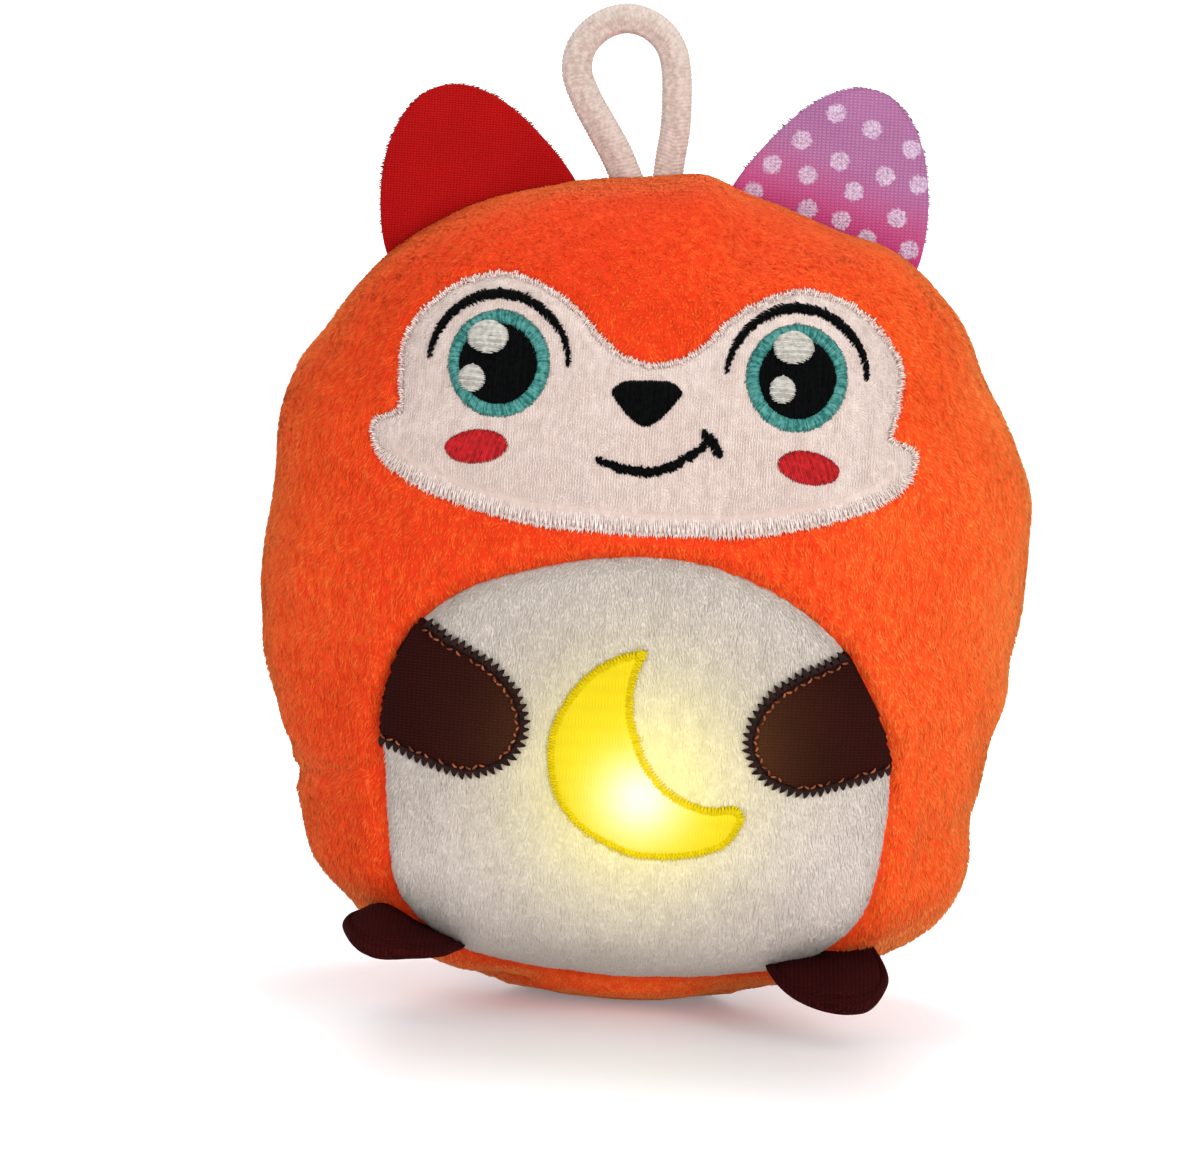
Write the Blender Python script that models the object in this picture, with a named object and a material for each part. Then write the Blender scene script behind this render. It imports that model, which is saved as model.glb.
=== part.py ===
"""Plush night light: a round stuffed fox whose belly lamp shines through a sewn moon.

Metres, +Z up. The origin is the centre of the flat base, and the face looks along -Y.
"""

import math

import bmesh
import bpy
from mathutils import Matrix, Vector

# Stuffed body
BODY_WIDTH = 0.1286
BODY_DEPTH = 0.101
BODY_HEIGHT = 0.1387
SECTION_ROUNDNESS = 2.2
# Height and radius of the side profile, from the base edge up to the crown
BODY_PROFILE_shares = (
    (0.000, 0.300),
    (0.032, 0.525),
    (0.094, 0.735),
    (0.159, 0.848),
    (0.245, 0.894),
    (0.342, 0.941),
    (0.433, 0.984),
    (0.519, 1.000),
    (0.613, 0.992),
    (0.699, 0.964),
    (0.779, 0.886),
    (0.854, 0.778),
    (0.923, 0.607),
    (0.975, 0.373),
    (1.000, 0.000),
)
ROWS = 20
COLUMNS = 40
FRONT_COLUMNS = (COLUMNS // 2, COLUMNS)
BACK_COLUMNS = (0, COLUMNS // 2)
BASE_SEAM_ROW = 1

# Cloth and the room left between neighbours
PLUSH = 0.0016
APPLIQUE = 0.001
EMBROIDERY = 0.0007
GAP = 0.0003
HINGE_GAP = 0.0005
OVERRUN = 0.02
WELD = 0.00001

# Face patch: half outline from the brow dip round the cheek tuft to the chin
FACE_X = -0.0012
FACE_HALF_WIDTH = 0.0443
FACE_TOP = 0.1216
FACE_CHIN = 0.0811
FACE_shares = (
    (0.000, 0.659),
    (0.102, 0.689),
    (0.190, 0.760),
    (0.266, 0.857),
    (0.368, 0.936),
    (0.474, 0.985),
    (0.564, 1.000),
    (0.688, 0.960),
    (0.790, 0.894),
    (0.871, 0.800),
    (0.919, 0.696),
    (0.916, 0.570),
    (0.890, 0.440),
    (0.985, 0.392),
    (1.000, 0.363),
    (0.975, 0.264),
    (0.912, 0.183),
    (0.767, 0.111),
    (0.553, 0.047),
    (0.372, 0.022),
    (0.181, 0.005),
    (0.000, 0.000),
)
FACE_CORNERS = (0, 12, 13)

# Eyes, both lit from the viewer's left
EYE_SPREAD = 0.0230
EYE_Z = 0.1062
EYE_HALF_WIDTH = 0.0084
EYE_HALF_HEIGHT = 0.0088
PUPIL_HALF_WIDTH = 0.0059
PUPIL_HALF_HEIGHT = 0.0066
GLINT_LARGE_X = -0.0016
GLINT_LARGE_Z = 0.0042
GLINT_LARGE_HALF_WIDTH = 0.0032
GLINT_LARGE_HALF_HEIGHT = 0.0027
GLINT_SMALL_X = -0.0033
GLINT_SMALL_Z = -0.0025
GLINT_SMALL_RADIUS = 0.0021
BROW_RADIUS = 0.0113
BROW_THICKNESS = 0.0014
BROW_SWEEP = (math.radians(5), math.radians(172))

# Nose, mouth and cheeks, measured from the middle of the face
NOSE_Z = 0.0978
NOSE_HALF_WIDTH = 0.0056
NOSE_HEIGHT = 0.0074
NOSE_shares = (
    (0.00, 0.00),
    (0.42, 0.19),
    (0.86, 0.55),
    (1.00, 0.76),
    (0.84, 0.93),
    (0.48, 1.00),
    (-0.48, 0.97),
    (-0.84, 0.88),
    (-1.00, 0.66),
    (-0.82, 0.44),
    (-0.42, 0.17),
)
MOUTH_Z = 0.0909
MOUTH_REACH = 0.0099
MOUTH_RISE = 0.0053
MOUTH_shares = (
    (-0.72, 0.24),
    (-0.45, 0.06),
    (-0.20, 0.00),
    (0.10, 0.00),
    (0.34, 0.10),
    (0.52, 0.28),
    (0.80, 0.62),
    (1.00, 1.00),
)
MOUTH_THICKNESS = 0.0014
CHEEK_SPREAD = 0.0264
CHEEK_Z = 0.0929
CHEEK_HALF_LENGTH = 0.0051
CHEEK_HALF_HEIGHT = 0.00265
CHEEK_TILT = math.radians(8.5)

# Belly panel: half outline from its top down to its lower edge
BELLY_X = 0.001
BELLY_HALF_WIDTH = 0.0412
BELLY_BOTTOM = 0.009
BELLY_TOP = 0.0777
BELLY_shares = (
    (0.000, 1.000),
    (0.194, 0.991),
    (0.425, 0.946),
    (0.643, 0.885),
    (0.789, 0.815),
    (0.874, 0.735),
    (0.934, 0.655),
    (0.983, 0.553),
    (1.000, 0.466),
    (0.985, 0.378),
    (0.961, 0.277),
    (0.917, 0.167),
    (0.825, 0.087),
    (0.631, 0.036),
    (0.388, 0.015),
    (0.146, 0.003),
    (0.000, 0.000),
)

# Moon: a large round with a smaller round cut from its upper right
MOON_X = 0.0048
MOON_Z = 0.0463
MOON_RADIUS = 0.0178
MOON_BITE_X = 0.0145
MOON_BITE_Z = 0.0527
MOON_BITE_RADIUS = 0.0146
MOON_OUTER_SWEEP = (math.radians(102), math.radians(323))
MOON_INNER_SWEEP = (math.radians(286), math.radians(149))

# Paws, stitched flat on the belly with their outer edge in its seam
PAW_X = 0.0003
PAW_SEAM = 0.0420
PAW_TIP = 0.0176
PAW_BOTTOM = 0.0415
PAW_TOP = 0.0655
PAW_shares = (
    (0.00, 1.08),
    (0.34, 0.97),
    (0.51, 0.86),
    (0.68, 0.79),
    (0.83, 0.68),
    (0.95, 0.55),
    (1.00, 0.38),
    (0.98, 0.23),
    (0.88, 0.09),
    (0.70, 0.00),
    (0.58, 0.00),
    (0.38, 0.05),
    (0.10, 0.14),
    (0.00, 0.17),
)

# Ears: rounded flaps sewn into the side seam near the crown
EAR_HALF_WIDTH = 0.0172
EAR_SKIRT = 0.003
EAR_EDGE = 0.001
EAR_MIDDLE = 0.0024
EAR_POINT = 1.5
EAR_SINK = 0.0028
EAR_LEFT_HEIGHT = 0.0227
EAR_RIGHT_HEIGHT = 0.0241
# Where each ear stands on the side seam, from base to crown, and its lean from square
EAR_LEFT_PLACE_share = 0.897
EAR_LEFT_LEAN = math.radians(3.1)
EAR_RIGHT_PLACE_share = 0.914
EAR_RIGHT_LEAN = math.radians(-1.2)

# Feet: light pads sewn to the front of the body just over the base
FOOT_SPREAD = 0.0343
FOOT_HALF_WIDTH = 0.0102
FOOT_LENGTH = 0.0185
FOOT_SKIRT = 0.012
FOOT_EDGE = 0.001
FOOT_MIDDLE = 0.0052
FOOT_POINT = 2.6
FOOT_LEFT_Z = 0.0150
FOOT_LEFT_DROOP = math.radians(12)
FOOT_RIGHT_Z = 0.0135
FOOT_RIGHT_DROOP = math.radians(24)

# Hang loop of soft cord, leaning to the viewer's left
LOOP_DIAMETER = 0.0047
LOOP_SIDES = 12
LOOP_LEFT_LEG_X = -0.0070
LOOP_RIGHT_LEG_X = 0.0006
LOOP_HEIGHT = 0.0250
LOOP_SPAN = 0.0165
# Across from the right leg and up from the legs' ends
LOOP_shares = (
    (-0.461, 0.00),
    (-0.600, 0.16),
    (-0.830, 0.38),
    (-0.975, 0.58),
    (-0.950, 0.79),
    (-0.780, 0.94),
    (-0.530, 1.00),
    (-0.270, 0.95),
    (-0.090, 0.82),
    (-0.010, 0.64),
    (0.015, 0.42),
    (0.010, 0.20),
    (0.000, 0.00),
)
LOOP_STEPS = 3

# Lamp behind the belly, turned about an axis along Y; depths run back from the bezel's face
LAMP_X = 0.001
LAMP_Z = 0.036
LAMP_RADIUS = 0.022
LAMP_DEPTH = 0.017
LAMP_WALL = 0.0016
BEZEL_THICKNESS = 0.0022
BEZEL_SKIRT = 0.0065
BEZEL_SKIRT_WALL = 0.0015
BOARD_THICKNESS = 0.0016
LEDGE_WIDTH = 0.0018
LEDGE_DEPTH = 0.0011
DOME_RADIUS = 0.014
DOME_WALL = 0.0014
DOME_RISE = 0.0085
DOME_STRAIGHT = 0.002
DOME_FLANGE_RADIUS = 0.0175
DOME_FLANGE_THICKNESS = 0.0012
BUTTON_TRAVEL = 0.001
POST_RADIUS = 0.0022
SWITCH_SIDE = 0.006
SWITCH_HEIGHT = 0.0035
PLUNGER_RADIUS = 0.00175
PLUNGER_LENGTH = 0.0022
PLUNGER_STANDS = 0.0011
LED_RADIUS = 0.0025
LED_FLANGE_RADIUS = 0.0029
LED_FLANGE_THICKNESS = 0.001
LED_HEIGHT = 0.0065
LED_RING_RADIUS = 0.0078
LED_COUNT = 3
WIRE_HOLE_RADIUS = 0.0024
TURN_SEGMENTS = 32
SMALL_SEGMENTS = 16

# Battery box in its cloth pouch behind the back panel, with three cells side by side
CELL_COUNT = 3
CELL_RADIUS = 0.00525
CELL_LENGTH = 0.0445
CELL_NUB_RADIUS = 0.0019
CELL_NUB_HEIGHT = 0.0012
CELL_EDGE = 0.0004
CELL_PITCH = 0.0112
BOX_WALL = 0.0015
BOX_CLEARANCE = 0.0004
BOX_RIB_THICKNESS = 0.0006
BOX_RIB_HEIGHT = 0.003
BOX_RIB_INSET = 0.009
BOX_BOSS = 0.006
BOX_Z = 0.066
SPRING_ROOM = 0.004
CONTACT_THICKNESS = 0.0004
CONTACT_ROOM = 0.0018
CONTACT_WIDTH = 0.008
SPRING_WIRE = 0.0006
SPRING_TURNS = 3
SPRING_STEPS = 8
SPRING_SIDES = 6
SPRING_FOOT_RADIUS = 0.0028
SPRING_TIP_RADIUS = 0.0015
COVER_THICKNESS = 0.0016
COVER_LIP = 0.0012
COVER_LIP_WALL = 0.0012
COVER_LIFT = 0.012
SCREW_RADIUS = 0.0012
SCREW_HEAD_RADIUS = 0.0022
SCREW_HEAD_HEIGHT = 0.0009
SCREW_LENGTH = 0.007
SCREW_SLOT = 0.0006
POUCH_WALL = 0.0008

# Flap over the pouch, sewn along its top edge and closed by hook and loop tape
FLAP_HALF_WIDTH = 0.0235
FLAP_OVER_TOP = 0.006
FLAP_OVER_BOTTOM = 0.010
FLAP_CORNER = 0.006
TAPE = 0.0006
TAPE_HALF_WIDTH = 0.018
TAPE_HEIGHT = 0.0065
TAPE_DROP = 0.0012

# Lamp wires, from the board to the outer contacts
WIRE_DIAMETER = 0.0012
WIRE_SPREAD = 0.00095
WIRE_LEAD = 0.008
WIRE_STEPS = 14
WIRE_SIDES = 8


def clear_scene():
    for thing in list(bpy.data.objects):
        bpy.data.objects.remove(thing)


def material(name, colour, roughness, metallic=0.0):
    made = bpy.data.materials.get(name)
    if made is None:
        made = bpy.data.materials.new(name)
        made.use_nodes = True
        shader = made.node_tree.nodes["Principled BSDF"]
        shader.inputs["Base Color"].default_value = (*colour, 1.0)
        shader.inputs["Roughness"].default_value = roughness
        shader.inputs["Metallic"].default_value = metallic
    return made


def orange_plush():
    return material("orange_plush", (0.80, 0.087, 0.017), 0.95)


def face_plush():
    return material("face_plush", (0.70, 0.53, 0.49), 0.95)


def belly_plush():
    return material("belly_plush", (0.62, 0.55, 0.50), 0.95)


def brown_cloth():
    return material("brown_cloth", (0.035, 0.010, 0.008), 0.9)


def red_cloth():
    return material("red_cloth", (0.42, 0.010, 0.009), 0.9)


def dotted_cloth():
    return material("dotted_cloth", (0.46, 0.17, 0.34), 0.9)


def moon_cloth():
    return material("moon_cloth", (0.93, 0.76, 0.05), 0.7)


def black_thread():
    return material("black_thread", (0.006, 0.006, 0.008), 0.6)


def teal_thread():
    return material("teal_thread", (0.02, 0.30, 0.24), 0.5)


def white_thread():
    return material("white_thread", (0.62, 0.60, 0.58), 0.5)


def red_thread():
    return material("red_thread", (0.52, 0.022, 0.026), 0.5)


def loop_cord():
    return material("loop_cord", (0.72, 0.58, 0.54), 0.9)


def fibre_fill():
    return material("fibre_fill", (0.85, 0.84, 0.80), 1.0)


def lining_cloth():
    return material("lining_cloth", (0.75, 0.73, 0.70), 0.9)


def white_plastic():
    return material("white_plastic", (0.80, 0.80, 0.78), 0.45)


def frosted_plastic():
    return material("frosted_plastic", (0.88, 0.87, 0.80), 0.35)


def black_plastic():
    return material("black_plastic", (0.02, 0.02, 0.02), 0.5)


def board_laminate():
    return material("board_laminate", (0.03, 0.16, 0.06), 0.5)


def lens_resin():
    return material("lens_resin", (0.9, 0.88, 0.7), 0.2)


def red_wire_coat():
    return material("red_wire_coat", (0.5, 0.02, 0.02), 0.5)


def black_wire_coat():
    return material("black_wire_coat", (0.015, 0.015, 0.015), 0.5)


def cell_sleeve():
    return material("cell_sleeve", (0.05, 0.09, 0.16), 0.4, 0.3)


def bright_steel():
    return material("bright_steel", (0.62, 0.62, 0.60), 0.3, 1.0)


def tape_nylon():
    return material("tape_nylon", (0.62, 0.14, 0.03), 0.95)


def new_object(name, vertices, faces, finish, origin=(0.0, 0.0, 0.0)):
    """An object whose mesh is given in world places and whose origin lies at origin."""
    centre = Vector(origin)
    mesh = bpy.data.meshes.new(name)
    mesh.from_pydata([tuple(Vector(v) - centre) for v in vertices], [], faces)
    mesh.validate()
    work = bmesh.new()
    work.from_mesh(mesh)
    bmesh.ops.recalc_face_normals(work, faces=work.faces)
    work.to_mesh(mesh)
    work.free()
    mesh.shade_smooth()
    mesh.set_sharp_from_angle(angle=math.radians(35))
    made = bpy.data.objects.new(name, mesh)
    made.location = centre
    if finish is not None:
        mesh.materials.append(finish)
    bpy.context.scene.collection.objects.link(made)
    return made


def as_cutter(tool):
    tool.hide_render = True
    tool.display_type = "WIRE"
    return tool


def boolean(target, tool, operation):
    step = target.modifiers.new(tool.name, "BOOLEAN")
    step.operation = operation
    step.solver = "EXACT"
    step.object = as_cutter(tool)


def cut(target, *tools):
    for tool in tools:
        boolean(target, tool, "DIFFERENCE")


def keep_inside(target, *tools):
    for tool in tools:
        boolean(target, tool, "INTERSECT")


def join(target, *tools):
    for tool in tools:
        boolean(target, tool, "UNION")


def mixed(start, end, share):
    return start + (end - start) * share


def spline(before, start, end, after, share):
    """A point of the smooth curve between start and end, for numbers or vectors."""
    return 0.5 * (
        2 * start
        + (end - before) * share
        + (2 * before - 5 * start + 4 * end - after) * share**2
        + (3 * start - before - 3 * end + after) * share**3
    )


def smooth_path(points, steps):
    """Points of a smooth open curve through points."""
    ends = [2 * points[0] - points[1], *points, 2 * points[-1] - points[-2]]
    path = [
        spline(*ends[i : i + 4], step / steps)
        for i in range(len(points) - 1)
        for step in range(steps)
    ]
    return [*path, points[-1]]


def smooth_outline(points, steps, corners=()):
    """Points of a closed curve through points, which stays sharp at the numbered corners."""
    count = len(points)
    outline = []
    for i in range(count):
        start, end = points[i], points[(i + 1) % count]
        before = start if i in corners else points[i - 1]
        after = end if (i + 1) % count in corners else points[(i + 2) % count]
        outline += [spline(before, start, end, after, step / steps) for step in range(steps)]
    return outline


def mirrored_outline(shares, centre, half_width, bottom, top):
    """A closed outline in X and Z from the shares of its right half."""
    right = [Vector((centre + half_width * x, mixed(bottom, top, z))) for x, z in shares]
    left = [Vector((2 * centre - p.x, p.y)) for p in right[1:-1]]
    return right + left[::-1]


def ellipse(x, z, half_width, half_height, count=24, tilt=0.0):
    turn = Matrix.Rotation(tilt, 2)
    angles = [2 * math.pi * i / count for i in range(count)]
    rim = [Vector((half_width * math.cos(a), half_height * math.sin(a))) for a in angles]
    return [Vector((x, z)) + turn @ p for p in rim]


def widened(outline, distance):
    """The outline moved outwards by distance, or inwards where distance is below zero."""
    count = len(outline)
    area = sum(outline[i - 1].cross(outline[i]) for i in range(count))
    side = math.copysign(1.0, area)
    moved = []
    for i in range(count):
        along = (outline[(i + 1) % count] - outline[i - 1]).normalized()
        moved.append(outline[i] + Vector((along.y, -along.x)) * distance * side)
    return moved


def prism(name, outline, near, far):
    """A solid with the outline in X and Z, running along Y from near to far."""
    count = len(outline)
    vertices = [(p.x, near, p.y) for p in outline] + [(p.x, far, p.y) for p in outline]
    sides = [(i, (i + 1) % count, (i + 1) % count + count, i + count) for i in range(count)]
    caps = [tuple(range(count)), tuple(range(2 * count - 1, count - 1, -1))]
    return new_object(name, vertices, sides + caps, None)


def profile_at(climb):
    """Height and radius shares of the body's side, for climb from 0 at the base to 1."""
    table = [Vector(pair) for pair in BODY_PROFILE_shares]
    start = 2 * table[0] - table[1]
    beyond = Vector((table[-2].x, -table[-2].y))
    table = [start, *table, beyond]
    place = climb * (len(BODY_PROFILE_shares) - 1)
    step = min(int(place), len(BODY_PROFILE_shares) - 2)
    return spline(*table[step : step + 4], place - step)


def rounded(value):
    return math.copysign(abs(value) ** (2 / SECTION_ROUNDNESS), value)


def outer_point(turn, climb):
    height, radius = profile_at(climb)
    return Vector(
        (
            BODY_WIDTH / 2 * radius * rounded(math.cos(turn)),
            BODY_DEPTH / 2 * radius * rounded(math.sin(turn)),
            BODY_HEIGHT * height,
        )
    )


def outward(turn, climb):
    """The direction square to the body's surface."""
    step = 0.001
    if climb + step > 1:
        return Vector((0, 0, 1))
    below = max(climb - step, 0)
    along = outer_point(turn, climb + step) - outer_point(turn, below)
    around = outer_point(turn + step, climb) - outer_point(turn - step, climb)
    return around.cross(along).normalized()


def skin_point(place, offset):
    """A grid place of the body's surface, moved out by offset. Row -1 is the base's middle."""
    row, column = place
    if row < 0:
        rim = [skin_point((0, c), offset).z for c in range(COLUMNS)]
        return Vector((0, 0, sum(rim) / COLUMNS))
    if row == ROWS:
        return Vector((0, 0, BODY_HEIGHT + offset))
    turn, climb = 2 * math.pi * column / COLUMNS, row / ROWS
    point = outer_point(turn, climb) + outward(turn, climb) * offset
    return point


def skin_sheet(first_row, last_row, first_column, last_column):
    """Grid places of a stretch of the body's surface and the triangles between them."""
    places, triangles = [], []

    def number(row, column):
        place = (row, 0) if row in (-1, ROWS) else (row, column % COLUMNS)
        if place not in places:
            places.append(place)
        return places.index(place)

    for row in range(first_row, last_row):
        for column in range(first_column, last_column):
            corners = (
                number(row, column),
                number(row, column + 1),
                number(row + 1, column + 1),
                number(row + 1, column),
            )
            for picked in ((0, 1, 2), (0, 2, 3)):
                triangle = tuple(corners[i] for i in picked)
                if len(set(triangle)) == 3:
                    triangles.append(triangle)
    return places, triangles


def closed_between(outer, inner, triangles):
    """Vertices and faces of the solid between two sheets that share their triangles."""
    count = len(outer)
    edges = {(t[i], t[(i + 1) % 3]) for t in triangles for i in range(3)}
    rims = [(b, a, a + count, b + count) for a, b in edges if (b, a) not in edges]
    back = [(a + count, c + count, b + count) for a, b, c in triangles]
    return outer + inner, triangles + back + sorted(rims)


def toward(point, target, distance):
    return point + (target - point).normalized() * distance


def trimmed(points, places, seams):
    """Points of a sheet, each on a seam drawn back by half a gap along its own facet."""
    spots = dict(zip(places, points, strict=True))
    result = dict(spots)
    for on_seam, inner in seams:
        for place in places:
            other = inner(place)
            if on_seam(place) and other in spots:
                shift = toward(spots[place], spots[other], GAP / 2) - spots[place]
                result[place] = result[place] + shift
    return [result[place] for place in places]


def skin_panel(name, rows, columns, outer, inner, seams, finish):
    """A sewn panel: the stretch of skin between two offsets, drawn back at its seams."""
    places, triangles = skin_sheet(*rows, *columns)
    sheets = []
    for offset in (outer, inner):
        points = [skin_point(place, offset) for place in places]
        sheets.append(trimmed(points, places, seams))
    vertices, faces = closed_between(*sheets, triangles)
    return new_object(name, vertices, faces, finish)


def body_solid(name, offset, finish=None):
    """The whole body as one closed solid, its surface moved out by offset."""
    places, triangles = skin_sheet(-1, ROWS, 0, COLUMNS)
    return new_object(name, [skin_point(p, offset) for p in places], triangles, finish)


def side_seams(columns):
    """The seams of a half body: both sides, the crown and the lower edge."""
    first, last = columns[0] % COLUMNS, columns[1] % COLUMNS
    middle = (columns[0] + columns[1]) // 2 % COLUMNS
    return (
        (lambda p: p[0] < ROWS and p[1] == first, lambda p: (p[0], (p[1] + 1) % COLUMNS)),
        (lambda p: p[0] < ROWS and p[1] == last, lambda p: (p[0], (p[1] - 1) % COLUMNS)),
        (lambda p: p[0] == ROWS, lambda p: (ROWS - 1, middle)),
        (lambda p: p[0] == BASE_SEAM_ROW, lambda p: (p[0] + 1, p[1])),
    )


def applique(name, outline, low, thickness, finish, columns=FRONT_COLUMNS):
    """A flat piece sewn on the skin: its outline cut from a layer that starts at low."""
    rows = (BASE_SEAM_ROW, ROWS - 1)
    inset = 1
    reach = (columns[0] + inset, columns[1] - inset)
    made = skin_panel(name, rows, reach, low + thickness, low, (), finish)
    front = -1 if columns == FRONT_COLUMNS else 1
    ends = sorted((0.0, front * (BODY_DEPTH / 2 + OVERRUN)))
    keep_inside(made, prism(name + "_outline", outline, *ends))
    return made


def face_outline():
    shares = mirrored_outline(FACE_shares, FACE_X, FACE_HALF_WIDTH, FACE_CHIN, FACE_TOP)
    count = len(shares)
    corners = {*FACE_CORNERS, *((count - c) % count for c in FACE_CORNERS)}
    return smooth_outline(shares, 2, corners)


def belly_outline(clearance):
    outline = mirrored_outline(
        BELLY_shares, BELLY_X, BELLY_HALF_WIDTH, BELLY_BOTTOM, BELLY_TOP
    )
    return widened(smooth_outline(outline, 2), clearance)


def front_prism(name, outline):
    return prism(name, outline, -BODY_DEPTH / 2 - OVERRUN, 0.0)


def front_panel():
    made = skin_panel(
        "front_panel",
        (BASE_SEAM_ROW, ROWS),
        FRONT_COLUMNS,
        0.0,
        -PLUSH,
        side_seams(FRONT_COLUMNS),
        orange_plush(),
    )
    cut(made, front_prism("belly_hole", belly_outline(GAP / 2)))


def back_panel():
    made = skin_panel(
        "back_panel",
        (BASE_SEAM_ROW, ROWS),
        BACK_COLUMNS,
        0.0,
        -PLUSH,
        side_seams(BACK_COLUMNS),
        orange_plush(),
    )
    cut(made, pouch_inside("back_opening"))


def base_panel():
    seam = (lambda p: p[0] == BASE_SEAM_ROW, lambda p: (p[0] - 1, p[1]))
    skin_panel(
        "base_panel", (-1, BASE_SEAM_ROW), (0, COLUMNS), 0.0, -PLUSH, (seam,), orange_plush()
    )


def belly_panel():
    made = skin_panel(
        "belly_panel",
        (BASE_SEAM_ROW, ROWS - 3),
        (FRONT_COLUMNS[0] + 1, FRONT_COLUMNS[1] - 1),
        0.0,
        -PLUSH,
        (),
        belly_plush(),
    )
    keep_inside(made, front_prism("belly_outline", belly_outline(-GAP / 2)))


def face_patch():
    applique("face_patch", face_outline(), GAP, APPLIQUE, face_plush())


def thread_level():
    return APPLIQUE + 2 * GAP


def glint_level():
    return thread_level() + EMBROIDERY + GAP


def embroidery(name, outline, finish, low=None):
    level = thread_level() if low is None else low
    return applique(name, outline, level, EMBROIDERY, finish)


def eye(side, x):
    ring = embroidery(
        f"eye_ring_{side}", ellipse(x, EYE_Z, EYE_HALF_WIDTH, EYE_HALF_HEIGHT), teal_thread()
    )
    hole = ellipse(x, EYE_Z, PUPIL_HALF_WIDTH + GAP, PUPIL_HALF_HEIGHT + GAP)
    cut(ring, front_prism(f"eye_hole_{side}", hole))
    pupil = ellipse(x, EYE_Z, PUPIL_HALF_WIDTH, PUPIL_HALF_HEIGHT)
    embroidery(f"pupil_{side}", pupil, black_thread())
    large = ellipse(
        x + GLINT_LARGE_X,
        EYE_Z + GLINT_LARGE_Z,
        GLINT_LARGE_HALF_WIDTH,
        GLINT_LARGE_HALF_HEIGHT,
        16,
    )
    embroidery(f"glint_large_{side}", large, white_thread(), glint_level())
    small = ellipse(
        x + GLINT_SMALL_X, EYE_Z + GLINT_SMALL_Z, GLINT_SMALL_RADIUS, GLINT_SMALL_RADIUS, 12
    )
    embroidery(f"glint_small_{side}", small, white_thread(), glint_level())


def stroke(path, thickness, end_share):
    """The outline of a thread line along path, full in the middle and thinner at its ends."""
    left, right = [], []
    last = len(path) - 1
    for i, point in enumerate(path):
        along = (path[min(i + 1, last)] - path[max(i - 1, 0)]).normalized()
        across = Vector((-along.y, along.x))
        fullness = math.sin(math.pi * i / last)
        half = thickness / 2 * mixed(end_share, 1.0, fullness)
        left.append(point + across * half)
        right.append(point - across * half)
    return left + right[::-1]


def brow(side, x):
    start, end = BROW_SWEEP
    if side == "right":
        start, end = math.pi - end, math.pi - start
    count = 14
    angles = [mixed(start, end, i / count) for i in range(count + 1)]
    arc = [Vector((x + BROW_RADIUS * math.cos(a), EYE_Z + BROW_RADIUS * math.sin(a))) for a in angles]
    embroidery(f"brow_{side}", stroke(arc, BROW_THICKNESS, 0.35), black_thread())


def nose():
    points = [Vector((FACE_X + NOSE_HALF_WIDTH * x, NOSE_Z + NOSE_HEIGHT * z)) for x, z in NOSE_shares]
    embroidery("nose", smooth_outline(points, 2), black_thread())


def mouth():
    points = [Vector((FACE_X + MOUTH_REACH * x, MOUTH_Z + MOUTH_RISE * z)) for x, z in MOUTH_shares]
    embroidery("mouth", stroke(smooth_path(points, 2), MOUTH_THICKNESS, 0.6), black_thread())


def cheek(side, facing):
    outline = ellipse(
        FACE_X + facing * CHEEK_SPREAD,
        CHEEK_Z,
        CHEEK_HALF_LENGTH,
        CHEEK_HALF_HEIGHT,
        20,
        -facing * CHEEK_TILT,
    )
    embroidery(f"cheek_{side}", outline, red_thread())


def arc(x, z, radius, sweep, count):
    angles = [mixed(*sweep, i / count) for i in range(count + 1)]
    return [Vector((x + radius * math.cos(a), z + radius * math.sin(a))) for a in angles]


def moon_patch():
    outer = arc(MOON_X, MOON_Z, MOON_RADIUS, MOON_OUTER_SWEEP, 24)
    inner = arc(MOON_BITE_X, MOON_BITE_Z, MOON_BITE_RADIUS, MOON_INNER_SWEEP, 14)
    applique("moon_patch", outer + inner, GAP, APPLIQUE, moon_cloth())


def paw(side, facing):
    outline = [
        Vector(
            (PAW_X + facing * mixed(PAW_SEAM, PAW_TIP, x), mixed(PAW_BOTTOM, PAW_TOP, z))
        )
        for x, z in PAW_shares
    ]
    smooth = smooth_outline(outline, 2, (0, len(outline) - 1))
    made = applique(f"paw_{side}", smooth, GAP, APPLIQUE, brown_cloth())
    keep_inside(made, front_prism(f"paw_seam_{side}", belly_outline(-GAP / 2)))


def pad(name, half_width, length, skirt, edge, middle, point, frame, slope, origin, finish):
    """A flat sewn flap: thin along its root, which has the slope, filled out, thin at its rim."""
    across, along = 8, 8
    rows = [-skirt, *(length * math.sin(math.pi / 2 * i / along) for i in range(along + 1))]
    places, triangles = [], []
    for i, reach in enumerate(rows[:-1]):
        for j in range(across + 1):
            share = max(reach / length, 0.0)
            side = 2 * j / across - 1
            x = half_width * math.sqrt(1 - share**point) * side
            outside = (reach - slope * x) / (length - slope * x)
            bulge = math.sin(math.pi * max(outside, 0.0)) * (1 - side**2)
            places.append((x, reach, mixed(edge, middle, bulge) / 2))
    places.append((0.0, length, edge / 2))
    tip = len(places) - 1
    for i in range(len(rows) - 1):
        for j in range(across):
            a, b = i * (across + 1) + j, i * (across + 1) + j + 1
            c, d = a + across + 1, b + across + 1
            if i == len(rows) - 2:
                triangles.append((a, b, tip))
            else:
                triangles += [(a, b, d), (a, d, c)]
    front = [frame @ Vector((x, -half, y)) for x, y, half in places]
    back = [frame @ Vector((x, half, y)) for x, y, half in places]
    vertices, faces = closed_between(front, back, triangles)
    return new_object(name, vertices, faces, finish, origin)


def seam_crest(turn, up):
    """The point of a side seam that stands highest along up."""
    steps = 400
    return max((outer_point(turn, i / steps) for i in range(steps)), key=up.dot)


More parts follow.
